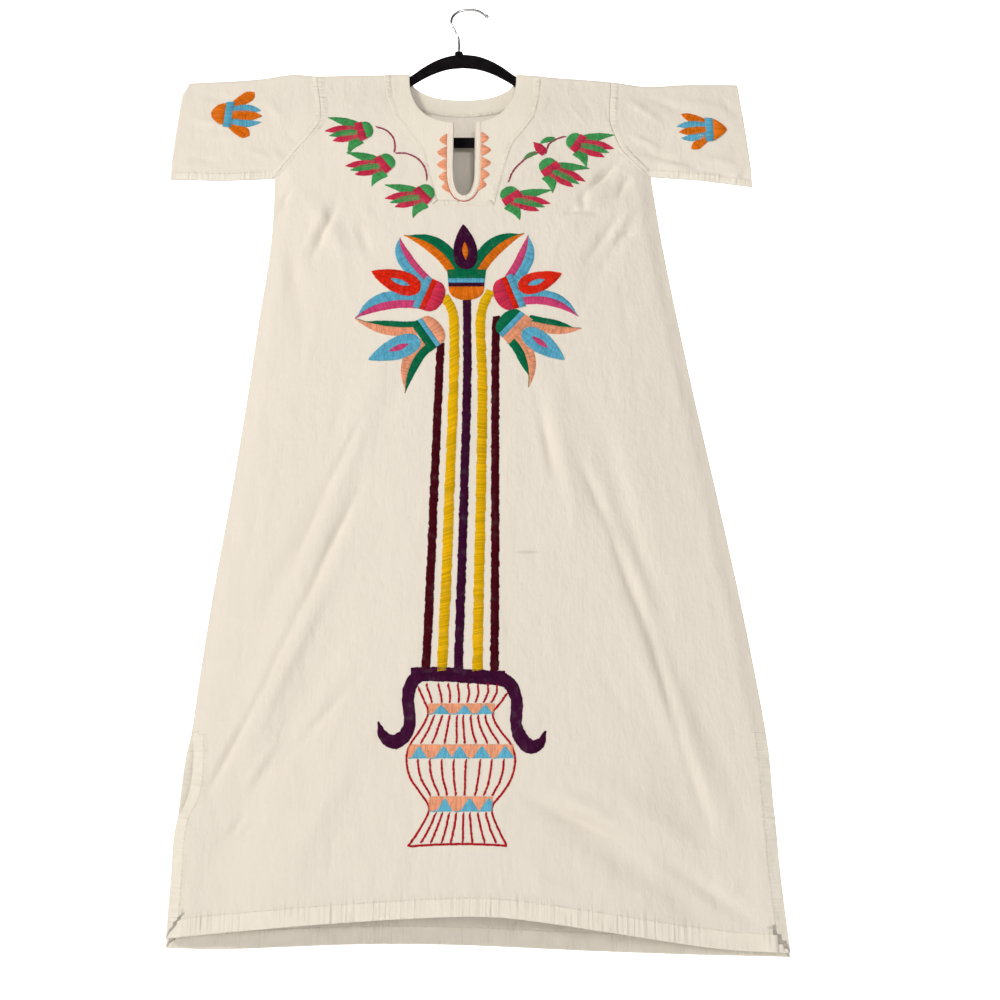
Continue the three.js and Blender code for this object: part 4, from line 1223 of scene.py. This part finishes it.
def satin(edge_a, edge_b, thread, slant=0.0, pitch=PITCH, longest=LONGEST):
    """Stitches from edge to edge at an even pitch. The far ends are moved along by `slant`
    millimetres. A stitch over `longest` is cut at uneven places into equal numbers of pieces."""
    edge_a, edge_b = np.asarray(edge_a, float), np.asarray(edge_b, float)
    lengths = length_of(edge_a), length_of(edge_b)
    count = max(int(max(lengths) / pitch), 2)
    t = (np.arange(count) + 0.5) / count
    shift = slant / max(lengths) / 2
    start = resample(edge_a, np.clip(t - shift, 0, 1) * lengths[0])
    end = resample(edge_b, np.clip(t + shift, 0, 1) * lengths[1])
    width = np.linalg.norm(end - start, axis=1)
    parts = np.ceil(width / longest).clip(1)
    most = int(parts.max())
    cuts = (np.arange(most + 1) + random.uniform(-0.28, 0.28, (count, most + 1))) / parts[:, None]
    margin = OVERLAP / np.maximum(width, 1)
    ragged = random.normal(0, 0.7, (count, 2)) * margin[:, None]
    cuts[:, 0] = ragged[:, 0]
    runs = []
    for k in range(most):
        used = (parts > k) & (width > 0.7)
        first = cuts[used, k] - margin[used]
        last = np.where(parts[used] == k + 1, 1 + ragged[used, 1], cuts[used, k + 1]) + margin[used]
        way = end[used] - start[used]
        runs.append((start[used] + way * first[:, None], start[used] + way * last[:, None]))
    return np.concatenate([r[0] for r in runs]), np.concatenate([r[1] for r in runs]), thread


def stem_stitch(line, thread, length=4.4, pitch=1.6, lean=1.0):
    """Overlapping stitches along a line, each starting a little to one side of it and ending on
    the other, which reads as a fine rope."""
    total = length_of(line)
    at = np.arange(0, total - 0.3 * length, pitch)
    start, end = resample(line, at), resample(line, np.minimum(at + length, total))
    way = end - start
    across = np.stack([-way[:, 1], way[:, 0]], -1) / np.linalg.norm(way, axis=1, keepdims=True)
    wander = random.normal(0, 0.2, (len(at), 1))
    return start + across * (lean + wander), end - across * (lean - wander), thread


# %% Strands
def front_cover(x, z):
    """Height of the front's outermost cloth over its inner face: the facing where it lies, and
    the plain wall elsewhere."""
    inside = facing_half_width(z) - np.abs(x - facing_middle(z))
    rise = ease(inside / 1.5 + 0.5) * ease((z - FACING_BOTTOM_Z) / 1.5 + 0.5)
    return THIN + (FACING_HIGH - THIN) * rise


RAMP = 0.45  # length over which a stitch comes up out of the cloth
DEPTHS = np.array([-0.3, 0.26, 0.26, -0.3])  # height over the cloth at a stitch's four stations
TAPER = np.array([0.7, 1.0, 1.0, 0.7])


def strand_faces():
    """Triangles of a three-sided strand of four stations, with its two ends."""
    sides = []
    for k in range(3):
        for i in range(3):
            a, b = 3 * k + i, 3 * k + (i + 1) % 3
            sides += [(a, b, b + 3), (a, b + 3, a + 3)]
    return np.array(sides + [(2, 1, 0), (9, 10, 11)])


def lifted(run, by):
    """The same stitches, worked over what already lies there."""
    return (*run, by)


def stitched(name, runs, girth=0.72, loft=0.66, side=FRONT, cover=front_cover, out=1):
    """One mesh of all the stitches: each is a three-sided strand that rises out of the cloth,
    runs level and goes down again. Its section is left, right and crest about its middle. It
    stands on `cover` outwards, or with out = -1 towards the inside."""
    start = np.concatenate([run[0] for run in runs])
    end = np.concatenate([run[1] for run in runs])
    colours = list(dict.fromkeys(run[2] for run in runs))
    thread = np.concatenate([np.full(len(run[0]), colours.index(run[2])) for run in runs])
    lift = np.concatenate([np.full((len(run[0]), 1), run[3] if len(run) > 3 else 0.0) for run in runs])
    ramp_share = np.minimum(RAMP / np.linalg.norm(end - start, axis=1), 0.3)
    station = np.stack([0 * ramp_share, ramp_share, 1 - ramp_share, 0 * ramp_share + 1], 1)
    place = start[:, None] + (end - start)[:, None] * station[..., None]
    x, z = place[..., 0], place[..., 1]
    height = cover(x, z) + out * (DEPTHS * loft / 0.6 + lift + random.normal(0, 0.05, (len(x), 1)))
    low = lay(side, x, top_line(x) - z, height)
    normal = lay(side, x, top_line(x) - z, height + out) - low
    normal /= np.linalg.norm(normal, axis=-1, keepdims=True)
    along = low[:, 3] - low[:, 0]
    along /= np.linalg.norm(along, axis=-1, keepdims=True)
    across = np.cross(normal, along[:, None])
    across /= np.linalg.norm(across, axis=-1, keepdims=True)
    half = (girth * TAPER * random.uniform(0.85, 1.15, (len(x), 1)))[..., None] * MM
    crest = low + normal * (loft * TAPER[:, None] * MM)
    points = np.stack([low - across * half, low + across * half, crest], 2).reshape(-1, 3)
    shape = strand_faces()
    faces = (np.arange(len(x))[:, None, None] * 12 + shape).reshape(-1, 3)
    a, b, c = (points[faces[: len(shape), k]] - points[0] for k in range(3))
    if (a * np.cross(b, c)).sum() < 0:
        faces = faces[:, ::-1]
    piece = mesh_object(name, points, faces)
    for colour in colours:
        piece.data.materials.append(thread_material(colour))
    piece.data.polygons.foreach_set("material_index", np.repeat(thread, len(shape)).astype(np.int32))
    tint = piece.data.attributes.new("tint", "FLOAT", "POINT")
    tint.data.foreach_set("value", np.repeat(random.uniform(-1, 1, len(x)), 12).astype(np.float32))
    print(name, "has", len(x), "stitches")
    return piece


# %% Thread material
def thread_group():
    """Stranded cotton: each stitch a little lighter or darker, with fine streaks of its plies."""
    inputs = [("Thread", "NodeSocketColor", (1, 1, 1, 1))]
    tree, given, result = new_group("stranded thread", inputs, GROUP_OUTPUTS)
    plus, times = sums(tree)
    place = place_on(tree)
    plies = noise(tree, place, (1900, 1900, 1900), 2.0)
    worn = noise(tree, place, (90, 90, 90), 3.0)
    shade = times(ramp(tree, plus(times(painted(tree, "tint"), 0.3), plies), 0.75, 0.1), 0.32)
    tone = mix_color(tree, shade, given.outputs["Thread"], (0.0, 0.0, 0.0, 1))
    tone = mix_color(tree, times(ramp(tree, worn, 0.5, 0.8), 0.03), tone, (1, 1, 1, 1))
    give(tree, result, Color=tone, Roughness=plus(times(plies, 0.25), 0.55), Height=plies)
    return tree


stranded = thread_group()


def thread_material(colour):
    """The thread's own colour in the shared group. It is made once for each colour."""
    name = colour.replace(" ", "_") + "_thread"
    if name in bpy.data.materials:
        return bpy.data.materials[name]
    material, tree, shader = new_material(name)
    use_group(tree, shader, stranded, 0.6, 0.0002, Thread=linear(*THREADS[colour]))
    give(tree, shader, Specular_IOR_Level=0.1)
    return material


# %% [markdown]
# ## Petals and leaves
# Each flower is drawn in its own small frame: u runs from its cup to its tip and v across it, as
# an embroiderer would chalk an axis first. A petal is one bent line from its foot to its tip and
# how wide it grows on either side. Two-coloured petals have one colour on each side of that line.


# %% Shapes between edges
def flower_frame(origin, hand, tilt):
    """From (u, v) to the cloth. u points to the hand's side and down by the tilt in degrees, and v
    up from it."""
    origin = np.asarray(origin, float)
    cosine, sine = math.cos(math.radians(tilt)), math.sin(math.radians(tilt))
    along, up = np.array([hand * cosine, -sine]), np.array([hand * sine, cosine])

    def place(points):
        points = np.asarray(points, float)
        return origin + points[:, :1] * along + points[:, 1:] * up

    return place


def through(foot, middle, tip, count=48):
    """A parabola from foot to tip that passes through `middle` halfway."""
    foot, middle, tip = (np.asarray(p, float) for p in (foot, middle, tip))
    t = np.linspace(0, 1, count)[:, None]
    pull = 2 * middle - (foot + tip) / 2
    return foot * (1 - t) ** 2 + 2 * pull * t * (1 - t) + tip * t**2


def beside(line, width):
    """The line moved to its left by a width that may change along it."""
    way = np.gradient(line, axis=0)
    way /= np.linalg.norm(way, axis=1, keepdims=True)
    return line + np.stack([-way[:, 1], way[:, 0]], -1) * np.asarray(width)[:, None]


def swell(count, root, belly, reach=1.0, fall=1.6):
    """Width along a petal as a share of its widest: it grows from `root` to its belly as a sine
    and then falls to nothing at `reach`, as one minus a power."""
    t = np.linspace(0, 1, count)
    rise = root + (1 - root) * np.sin(np.minimum(t / belly, 1) * math.pi / 2)
    return rise * (1 - np.clip((t - belly) / (reach - belly), 0, 1) ** fall)


def petal(place, foot, tip, bend, half, thread, root=0.75, belly=0.5):
    """One colour on both sides of a line that bends up by `bend` halfway."""
    middle = (np.add(foot, tip) / 2) + np.array([0, bend])
    line = through(foot, middle, tip)
    width = half * swell(len(line), root, belly, fall=1.2 + 1.4 * belly)
    return satin(place(beside(line, width)), place(beside(line, -width)), thread, slant=1.5)


def two_tone(place, foot, middle, tip, near, far, threads):
    """Near is the colour on the axis side of the petal's line, far the other one. Each has a
    widest place and a share of the petal's length that it reaches."""
    line = through(foot, middle, tip)
    axis_side = 1 if foot[1] < 0 else -1
    lanes = []
    for sign, (widest, reach), thread in ((axis_side, near, threads[0]), (-axis_side, far, threads[1])):
        width = sign * widest * swell(len(line), 0.95, 0.4, reach, 2.0)
        lanes.append(satin(place(line), place(beside(line, width)), thread, slant=2.0 * sign))
    return lanes


def heart_leaf(place, foot, tip, half, thread, core_thread, core=(0.2, 0.62), core_half=4.2):
    """A leaf that is round at its foot and pointed at its tip, worked round a small core. Its
    width is t to 0.45 times (1 - t) to 0.85, and the core's is a half sine."""
    line = through(foot, np.add(foot, tip) / 2, tip)
    t = np.linspace(0, 1, len(line))
    width = half * t**0.45 * (1 - t) ** 0.85 / 0.455
    along = (t - core[0]) / (core[1] - core[0])
    heart = core_half * np.sin(math.pi * np.clip(along, 0, 1))
    lanes = []
    for sign in (1, -1):
        inside, outside = place(beside(line, sign * heart)), place(beside(line, sign * width))
        lanes.append(satin(inside, outside, thread, slant=-4.0 * sign))
    return lanes + [satin(place(beside(line, heart)), place(beside(line, -heart)), core_thread)]


def cup(place, depth, half, thread, point=(2.0, 0.42)):
    """A dome below the chord u = 0: u = -depth * (1 - |v / half|^p)^q, more pointed with a
    smaller p and a larger q."""
    v = np.linspace(-half, half, 40)
    arc = -depth * np.clip(1 - np.abs(v / half) ** point[0], 0, 1) ** point[1]
    return satin(place(np.stack([0 * v, v], -1)), place(np.stack([arc, v], -1)), thread, longest=24)


def band(place, low, high, half_low, half_high, thread):
    """Short stitches along the axis, between two chords."""
    v = np.linspace(-1, 1, 20)
    ends = (low, half_low), (high, half_high)
    return satin(*(place(np.stack([0 * v + u, v * half], -1)) for u, half in ends), thread)


# %% Open flowers
BLUE = {"cup": "crimson", "bands": [(8, "red"), (9.5, "light blue")], "petals": ("light blue", "pink"),
        "leaf": ("red", "light blue")}
LEFT_PEACH = {"cup": "peach", "bands": [(7, "light blue"), (11, "dark green")],
              "petals": ("peach", "dark green"), "leaf": ("light blue", "pink")}
RIGHT_PEACH = {"cup": "dark green", "bands": [(8, "light blue"), (13, "peach")],
               "petals": ("peach", "dark green"), "leaf": ("light blue", "pink")}
MIDDLE = {"cup": "orange", "bands": [(6, "purple"), (7, "light blue"), (13.5, "dark green")],
          "petals": ("dark green", "orange"), "leaf": ("purple", "orange")}
FLOWERS = [
    # middle of the cup's chord, hand, tilt, cup depth and half chord, colours; in (u, v): the heart
    # leaf's foot, tip and half width; then for the upper and the lower petal foot, middle and tip,
    # and for the colour on either side of its line the width and how far it reaches
    ((-42, -478), -1, -21.8, 19, 24, BLUE, ((18, 3), (93, 4), 18.5),
     ((13, 17), (57, 42), (76, 67), (13, 0.95), (9, 1.0)),
     ((14, -14), (60, -35), (87, -70), (15, 0.93), (12, 1.0))),
    ((66, -475), 1, -21.2, 19, 25, BLUE, ((18, 2), (83, 2), 16.5),
     ((12, 18), (43, 44), (61, 75), (14, 0.95), (11, 1.0)),
     ((14, -12), (58, -30), (81, -67), (10, 0.95), (12, 1.0))),
    ((-41, -532), -1, 33.7, 16, 24, LEFT_PEACH, ((20, -2), (95, 13), 17.5),
     ((13, 17), (46, 40), (78, 77), (13, 1.0), (9, 0.85)),
     ((15, -13), (49, -25), (80, -57), (14, 0.93), (12, 1.0))),
    ((69, -519), 1, 41.4, 15, 23, RIGHT_PEACH, ((22, 4), (93, 9), 16.5),
     ((17, 20), (50, 39), (80, 61), (13, 1.0), (9, 0.85)),
     ((19, -14), (53, -25), (83, -55), (13, 1.0), (12, 0.82))),
    ((8, -464.5), 1, -90, 20.5, 25, MIDDLE, ((27, 0), (97, 5), 18),
     ((22, 14), (62, 45), (81, 90), (15, 0.93), (12, 1.0)),
     ((22, -13), (63, -42), (84, -82), (15, 0.93), (12, 1.0))),
]
FLOWER_LIFT = 0.5  # its cup, bands and leaf lie this far over the petals


def open_flower(middle, hand, tilt, depth, half, colours, leaf, *petals):
    """Cup, bands and calyx across the flower's own axis, the heart leaf along it, and two petals
    that bend away from it."""
    place = flower_frame(middle, hand, tilt)
    runs = [lifted(cup(place, depth, half, colours["cup"]), FLOWER_LIFT)]
    for row in petals:
        runs += two_tone(place, *row, colours["petals"])
    level = 0.0
    for height, thread in colours["bands"]:
        ends = half + 0.1 * level, half + 0.1 * (level + height)
        runs.append(lifted(band(place, level, level + height, *ends, thread), FLOWER_LIFT))
        level += height
    return runs + [lifted(run, FLOWER_LIFT) for run in heart_leaf(place, *leaf, *colours["leaf"])]


open_flowers = stitched("embroidery_open_flowers", [run for row in FLOWERS for run in open_flower(*row)])

# %% [markdown]
# ## Stems and vase
# The stems are long lanes of stitches laid straight across. Below them a bar with two curled
# handles crowns a vase, which is drawn in stem stitch with three bands of small triangles.

# %% Stems
STEMS = [  # thread, half width, line from the flower to the bar
    ("maroon", 5.5, [(-27, -550), (-29, -605), (-33, -740), (-36, -861), (-41, -1009)]),
    ("yellow", 6.5, [(-23, -479), (-13, -498), (-9, -522), (-8.5, -605), (-12, -740), (-15, -861),
                     (-20, -1009)]),
    ("purple", 5.7, [(9, -484), (10, -605), (7.5, -740), (5, -861), (1, -1009)]),
    ("yellow", 6.5, [(43, -470), (33, -490), (28, -520), (31, -605), (30, -740), (28, -861), (26, -1009)]),
    ("maroon", 5.3, [(50, -509), (49, -605), (49, -740), (49, -861), (48, -1009)]),
]


def lane_along(points, half, thread, slant=2.5, wobble=0.4):
    """Stitches across a smooth line, from side to side. `half` is one number or one for each
    even step from the start to the end."""
    line = smooth_line(points, 12)
    line = resample(line, np.linspace(0, length_of(line), int(length_of(line) / 4)))
    half = np.atleast_1d(half)
    half = np.resize(half, max(len(half), 2))
    half = np.interp(np.linspace(0, 1, len(line)), np.linspace(0, 1, len(half)), half)
    loose = random.normal(0, wobble, (2, len(line))) * np.minimum(half, 1)
    return satin(beside(line, half + loose[0]), beside(line, -half - loose[1]), thread, slant, longest=16)


stems = stitched("embroidery_stems", [lane_along(line, half, thread) for thread, half, line in STEMS])

# %% Vase
BAR = [(-60, -1013), (-20, -1013), (20, -1016), (62, -1018)]
HANDLES = [  # line and half widths from the bar to the curled tip
    ([(-48, -1013), (-58, -1023), (-63, -1042), (-61, -1078), (-68, -1093), (-81, -1100),
      (-94, -1092), (-101, -1074)],
     [8.5, 8.5, 7.4, 7.0, 7.0, 8.2, 9.0, 6.0, 0.6]),
    ([(54, -1018), (68, -1026), (77, -1046), (76, -1078), (83, -1096), (95, -1106),
      (107, -1101), (114, -1086)],
     [8.5, 8.5, 7.4, 7.0, 7.0, 8.2, 9.0, 6.5, 0.6]),
]
VASE_LEFT = [(-51, -1029), (-43, -1046), (-37, -1063), (-46, -1083), (-59, -1102), (-64, -1120),
             (-59, -1144), (-45, -1164), (-34, -1182), (-43, -1204), (-60, -1229)]
VASE_RIGHT = [(66, -1036), (56, -1050), (46, -1064), (54, -1083), (69, -1102), (75, -1121), (70, -1145),
              (58, -1164), (45, -1182), (52, -1205), (64, -1228)]
VASE_BANDS = [  # top, bottom and the shares of the width at which triangles stand
    (-1051, -1064, (0.2, 0.55, 0.85)),
    (-1103, -1120, (0.11, 0.34, 0.49, 0.7, 0.92)),
    (-1168, -1186, (0.26, 0.64, 0.93)),
]
TRIANGLE_HALF = 11.0
RIBS = 8


def vase_width(z):
    """Left and right outline of the vase at a height."""
    sides = []
    for outline in (VASE_LEFT, VASE_RIGHT):
        line = smooth_line(outline, 8)
        sides.append(np.interp(-np.asarray(z, float), -line[:, 1], line[:, 0]))
    return sides


def vase_band(high, low, shares):
    """Blue triangles with their feet on the lower line, and peach in the ground above them: in
    (x, z) both are the space between the line of the triangles' tops and one of the lines."""
    left, right = (float(side) for side in vase_width((high + low) / 2))
    x = np.linspace(left + 1, right - 1, 160)
    tops = np.full(x.shape, float(low))
    for share in shares:
        away = np.abs(x - (left + (right - left) * share)) / (TRIANGLE_HALF * random.uniform(0.85, 1.1))
        tops = np.maximum(tops, low + (high - 1.5 - low) * (1 - away**1.15))
    crest = np.stack([x, tops], -1)
    flat = [np.stack([x, np.full(x.shape, level)], -1) for level in (low, high)]
    return [satin(flat[0], crest, "light blue", 1.0), satin(crest, flat[1], "peach", 1.0)]


def vase():
    """Bar and handles in satin, then the outline, foot and ribs in stem stitch, and the bands."""
    runs = [lane_along(BAR, 9.0, "purple", slant=1.0)]
    runs += [lane_along(line, half, "purple", slant=2.0) for line, half in HANDLES]
    runs += [stem_stitch(smooth_line(outline, 8), "vase red") for outline in (VASE_LEFT, VASE_RIGHT)]
    floor = through(VASE_LEFT[-1], np.add(VASE_LEFT[-1], VASE_RIGHT[-1]) / 2 + (0, 2.5), VASE_RIGHT[-1])
    runs.append(stem_stitch(floor, "vase red"))
    tops = [-1023] + [row[1] for row in VASE_BANDS]
    bottoms = [row[0] for row in VASE_BANDS] + [-1226]
    for high, low in zip(tops, bottoms):
        z = np.linspace(high - 1, low + 1, 12)
        left, right = vase_width(z)
        for k in range(1, RIBS + 1):
            share = k / (RIBS + 1) + random.uniform(-0.014, 0.014)
            sway = random.normal(0, 0.35, 12).cumsum() * 0.4
            rib = np.stack([left + (right - left) * share + sway, z], -1)
            runs.append(stem_stitch(rib, "vase red"))
    return runs + [run for row in VASE_BANDS for run in vase_band(*row)]


vase_piece = stitched("embroidery_vase", vase(), girth=0.85)

# %% [markdown]
# ## Shoulder sprays and sleeve flowers
# Small bell flowers hang from two vines on the shoulders, and one lies on each sleeve. Each is a
# dome, a band and five narrow petals about its own axis.

# %% Bell flowers
SPRAY_PETALS = [  # foot across the band, tip in the petals' frame, bend, half width, thread, shape
    (10.5, (62, 30), 2.0, 7.6, "leaf green", 1.0, 0.15),
    (5.5, (69, 9), 1.5, 5.8, "crimson"),
    (0, (64, 0), 1.0, 5.0, "leaf green"),
    (-5, (60, -9), 0.5, 6.2, "crimson"),
    (-9, (42, -35), 3.0, 11.0, "leaf green", 1.0, 0.1),
]
SPRAY_HEADS = [  # end of the dome, hand, tilt of the petals and of the band
    ((-132, -209), -1, 10.5, 18),
    ((-101, -258), -1, 17.8, 38),
    ((-43, -308), -1, 21.2, 42),
    ((155, -224), 1, 21.4, 33),
    ((118, -262), 1, 36, 52),
    ((62, -309), 1, 27, 54),
]
LEFT_SLEEVE_PETALS = [
    (17, (62, 36), -1.0, 9.0, "orange", 0.6, 0.7),
    (8, (73, 4), 3.0, 6.6, "light blue"),
    (0, (75, -5), 0.0, 8.0, "orange"),
    (-11, (74, -15), -2.5, 5.6, "light blue"),
    (-17, (58, -37), -0.5, 9.0, "orange", 0.6, 0.7),
]
RIGHT_SLEEVE_PETALS = [
    (13, (66, 26), -1.0, 6.4, "orange", 0.7, 0.6),
    (7, (73, 5), 2.0, 5.8, "light blue"),
    (0, (70, -5), 0.0, 6.6, "orange"),
    (-8, (67, -14), -2.0, 5.2, "light blue"),
    (-14, (53, -31), -0.5, 6.8, "orange", 0.7, 0.6),
]


def bell(end, hand, tilt, lean, petals, dome, strip, threads):
    """`dome` is (depth, half) and how pointed it is, `strip` (depth, half). The petals' tips lie
    in the frame of the first tilt, and the dome and the band in that of the second."""
    cosine, sine = math.cos(math.radians(lean - tilt)), math.sin(math.radians(lean - tilt))
    centre = flower_frame(end, hand, lean)([[dome[0], 0]])[0]
    place = flower_frame(centre, hand, lean)
    runs = []
    for foot, tip, *shape in petals:
        turned = (tip[0] * cosine - tip[1] * sine - dome[0], tip[0] * sine + tip[1] * cosine)
        runs.append(petal(place, (strip[0] - 1, foot), turned, *shape))
    runs = [lifted(run, lift) for run, lift in zip(runs, (0.0, 0.3, 0.6, 0.3, 0.0))]
    runs.append(lifted(cup(place, *dome[:2], threads[0], dome[2:] or (2.0, 0.42)), 0.8))
    runs.append(lifted(band(place, 0, strip[0], strip[1] - 0.5, strip[1] + 0.5, threads[1]), 0.8))
    return runs


VINES = [
    [(-128, -207), (-112, -213), (-101, -226), (-98, -240), (-99, -250)],
    [(-98, -251), (-80, -252), (-63, -262), (-53, -278), (-50, -297)],
    [(153, -222), (139, -227), (127, -236), (122, -252)],
    [(121, -253), (107, -250), (92, -261), (80, -273), (72, -286), (68, -299)],
]
UPRIGHT = flower_frame((0, 0), 1, 0)  # u and v are x and z


def spray():
    """Six bells and four vines, with a bud and two small leaves."""
    runs = [run for head in SPRAY_HEADS
            for run in bell(*head, SPRAY_PETALS, (12.5, 13.5), (11, 15), ("leaf green", "crimson"))]
    runs += [stem_stitch(smooth_line(line, 8), "dusty rose") for line in VINES]
    runs.append(petal(UPRIGHT, (121, -251), (105, -233), 0.0, 7.0, "crimson", 0.8, 0.4))
    runs.append(petal(UPRIGHT, (136, -228), (114, -235), 3.0, 4.2, "leaf green"))
    return runs + [petal(UPRIGHT, (109, -250), (89, -262), 2.0, 3.4, "leaf green")]


spray_piece = stitched("embroidery_shoulder_sprays", spray())
SLEEVE_THREADS = ("orange", "light blue")
left_flower = stitched("embroidery_left_sleeve", bell(
    (-372, -181), 1, 0, 4, LEFT_SLEEVE_PETALS, (20, 18.5, 1.8, 0.55), (11.5, 21.5), SLEEVE_THREADS))
right_flower = stitched("embroidery_right_sleeve", bell(
    (390, -208), -1, 0, 0, RIGHT_SLEEVE_PETALS, (20, 17.5, 1.3, 0.8), (11.5, 19), SLEEVE_THREADS))

# %% Points and line round the slit
SLIT_POINTS = {LEFT: (-230, -251, -271, -291, -308), RIGHT: (-227, -247, -268, -287, -304)}
POINT_HALF = 10.0
LINE_TOP_Z = -312  # the stem-stitched line under the slit starts here
POINT_REACH = (11, 14, 14, 12, 10)
BINDING_OUT = 8.6


def slit_edge(hand, z):
    """Points on the binding's outer edge at given heights."""
    line = slit_side(hand, BINDING_OUT)
    level = top_line(line[:, 0]) - line[:, 1]
    return np.stack([np.interp(-z, -level, line[:, 0]), z], -1)


def slit_trim():
    """Each point stands on the binding: it reaches out by its reach times one minus s to 1.5, for
    s from -1 to 1 along its foot, and its stitches run outwards."""
    runs = []
    s = np.linspace(-1, 1, 24)
    for hand, levels in SLIT_POINTS.items():
        for z, reach in zip(levels, POINT_REACH):
            foot = slit_edge(hand, z - s * POINT_HALF)
            out = np.stack([hand * reach * (1 - np.abs(s) ** 1.5), 0 * s], -1)
            runs.append(satin(foot, foot + out, "peach", longest=16))
    line = np.concatenate([slit_side(-1, BINDING_OUT + 0.8), slit_side(1, BINDING_OUT + 0.8)[::-1]])
    z = top_line(line[:, 0]) - line[:, 1]
    low = z < LINE_TOP_Z
    runs.append(stem_stitch(np.stack([line[low, 0], z[low]], -1), "coral", 4.5, 2.0, 0.35))
    return runs


slit_trim_piece = stitched("embroidery_slit", slit_trim())
EMBROIDERY = [open_flowers, stems, vase_piece, spray_piece, left_flower, right_flower, slit_trim_piece]

# %% [markdown]
# ## Sewing
# The turned hems, the facing and the binding are held by small running stitches in thread of the
# cloth's own colour. The needle goes in and out, so short stitches alternate with gaps.


# %% Running stitches
SEAM_START_X = 290  # the sleeve's seam shows from here
HEM_LEVEL = -1340.0  # height at which the side slits' edges are near the hem


def running(line, length=2.6, pitch=4.0):
    """Short stitches along a line in (x, z) with gaps between them."""
    at = np.arange(1.0, length_of(line) - length, pitch) + random.uniform(-0.3, 0.3)
    return resample(line, at), resample(line, at + length), "cream"


def hem_stitches(side):
    """Along the bottom hem and both hems of the side slits."""
    left, right = (float(edge(HEM_LEVEL)) for edge in (left_edge[side], right_edge))
    x = np.linspace(left + SIDE_HEM, right - SIDE_HEM, 160)
    runs = [running(np.stack([x, hem_line[side](x) + HEM_WIDTH], -1))]
    for edge, inward in ((left_edge[side], SIDE_HEM), (right_edge, -SIDE_HEM)):
        z = np.linspace(SLIT_TOP_Z, float(hem_line[side](edge(HEM_LEVEL))) + HEM_WIDTH, 60)
        runs.append(running(np.stack([edge(z) + inward, z], -1)))
    return runs


def sleeve_stitches():
    """Along the sleeve's lower fold. The cuff's hem was sewn blind."""
    runs = []
    for hand, cuff in SLEEVE_CUFF.items():
        x = np.linspace(hand * SEAM_START_X, cuff[1] - hand * 4, 30)
        runs.append(running(np.stack([x, sleeve_fold(x) + UNDER_SEAM], -1)))
    return runs


def facing_stitches():
    """Just inside the facing's outer edge, all the way round."""
    z = np.linspace(SHOULDER_Z - 4, FACING_BOTTOM_Z + 1.8, 120)
    sides = [np.stack([facing_middle(z) + hand * (facing_half_width(z) - 1.8), z], -1)
             for hand in (LEFT, RIGHT)]
    return [running(np.concatenate([sides[0], sides[1][::-1]]))]


def from_depth(line):
    """From (x, d) to (x, z)."""
    return np.stack([line[:, 0], top_line(line[:, 0]) - line[:, 1]], -1)


def plain_cover(height):
    """A cover of one height, for cloth without a facing."""
    return lambda x, z: height + 0 * x


FINE = {"girth": 0.3, "loft": 0.3}  # the sewing thread
binding_line = [slit_side(hand, 6.3) for hand in (LEFT, RIGHT)]
neck_line = [neck_quarter(BACK_NECK, hand, BACK_FACING_WIDTH - 1.8) for hand in (LEFT, RIGHT)]
neck_line = [line[line[:, 1] > BACK_FACING_DROP] for line in neck_line]
SEWING = [
    stitched("sewing_front", hem_stitches(FRONT) + sleeve_stitches() + facing_stitches(), **FINE),
    stitched("sewing_back", hem_stitches(BACK) + sleeve_stitches(), side=BACK,
             cover=plain_cover(THIN), **FINE),
    stitched("sewing_back_inside", hem_stitches(BACK), side=BACK, cover=plain_cover(0.0), out=-1, **FINE),
    stitched("sewing_binding", [running(from_depth(line)) for line in binding_line],
             cover=plain_cover(2.5), **FINE),
    stitched("sewing_neck_inside", [running(from_depth(line)) for line in neck_line], side=BACK,
             cover=plain_cover(BACK_FACING_LOW), out=-1, **FINE),
]

# %% [markdown]
# ## Joining the working model
# Every piece rides on the one rigid body and stands for the solid of the same name. For each
# sheet of cloth, the size of its cut is printed.

# %% Ride and replace
REPLACED = {
    "front": (front_cloth, "cotton"),
    "back": (back_cloth, "cotton"),
    "sleeve_left": (sleeve_left_cloth, "cotton"),
    "sleeve_right": (sleeve_right_cloth, "cotton"),
    "neck_facing": (neck_facing_cloth, "facing_cotton"),
    "slit_binding": (slit_binding_cloth, "facing_cotton"),
    "back_neck_facing": (back_neck_facing_cloth, "facing_cotton"),
    "hanger": (velvet_hanger, "velvet"),
    "hook": (wire_hook, "hook_metal"),
}
for solid, (piece, slot) in REPLACED.items():
    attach(piece, "root")
    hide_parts(solid)
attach(hanger_collar, "root")
for piece in EMBROIDERY + SEWING:
    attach(piece, "root")

# %% Sheets of cloth
ON_FRONT = [open_flowers, stems, vase_piece, spray_piece, slit_trim_piece, SEWING[0]]
SHEETS = [  # piece, width and length of the cut in metres, its flat area, how held, on what, with what
    (front_cloth, (0.785, 1.25), 0.76, "hung", [velvet_hanger], ON_FRONT),
    (back_cloth, (0.785, 1.255), 0.79, "hung", [velvet_hanger], SEWING[1:3]),
    (sleeve_left_cloth, (0.33, 0.215), 0.065, "hung", [front_cloth, back_cloth], [left_flower]),
    (sleeve_right_cloth, (0.33, 0.205), 0.06, "hung", [front_cloth, back_cloth], [right_flower]),
    (neck_facing_cloth, (0.235, 0.225), 0.021, "laid", [front_cloth], []),
    (slit_binding_cloth, (0.0175, 0.275), None, "folded", [front_cloth, neck_facing_cloth], [SEWING[3]]),
    (back_neck_facing_cloth, (0.215, 0.06), 0.0059, "laid", [back_cloth], [SEWING[4]]),
]
for piece, cut, area, held, under, on_it in SHEETS:
    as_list(under)
    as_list(on_it)
    print(piece.name, "was cut from", cut[0], "by", cut[1], "m")
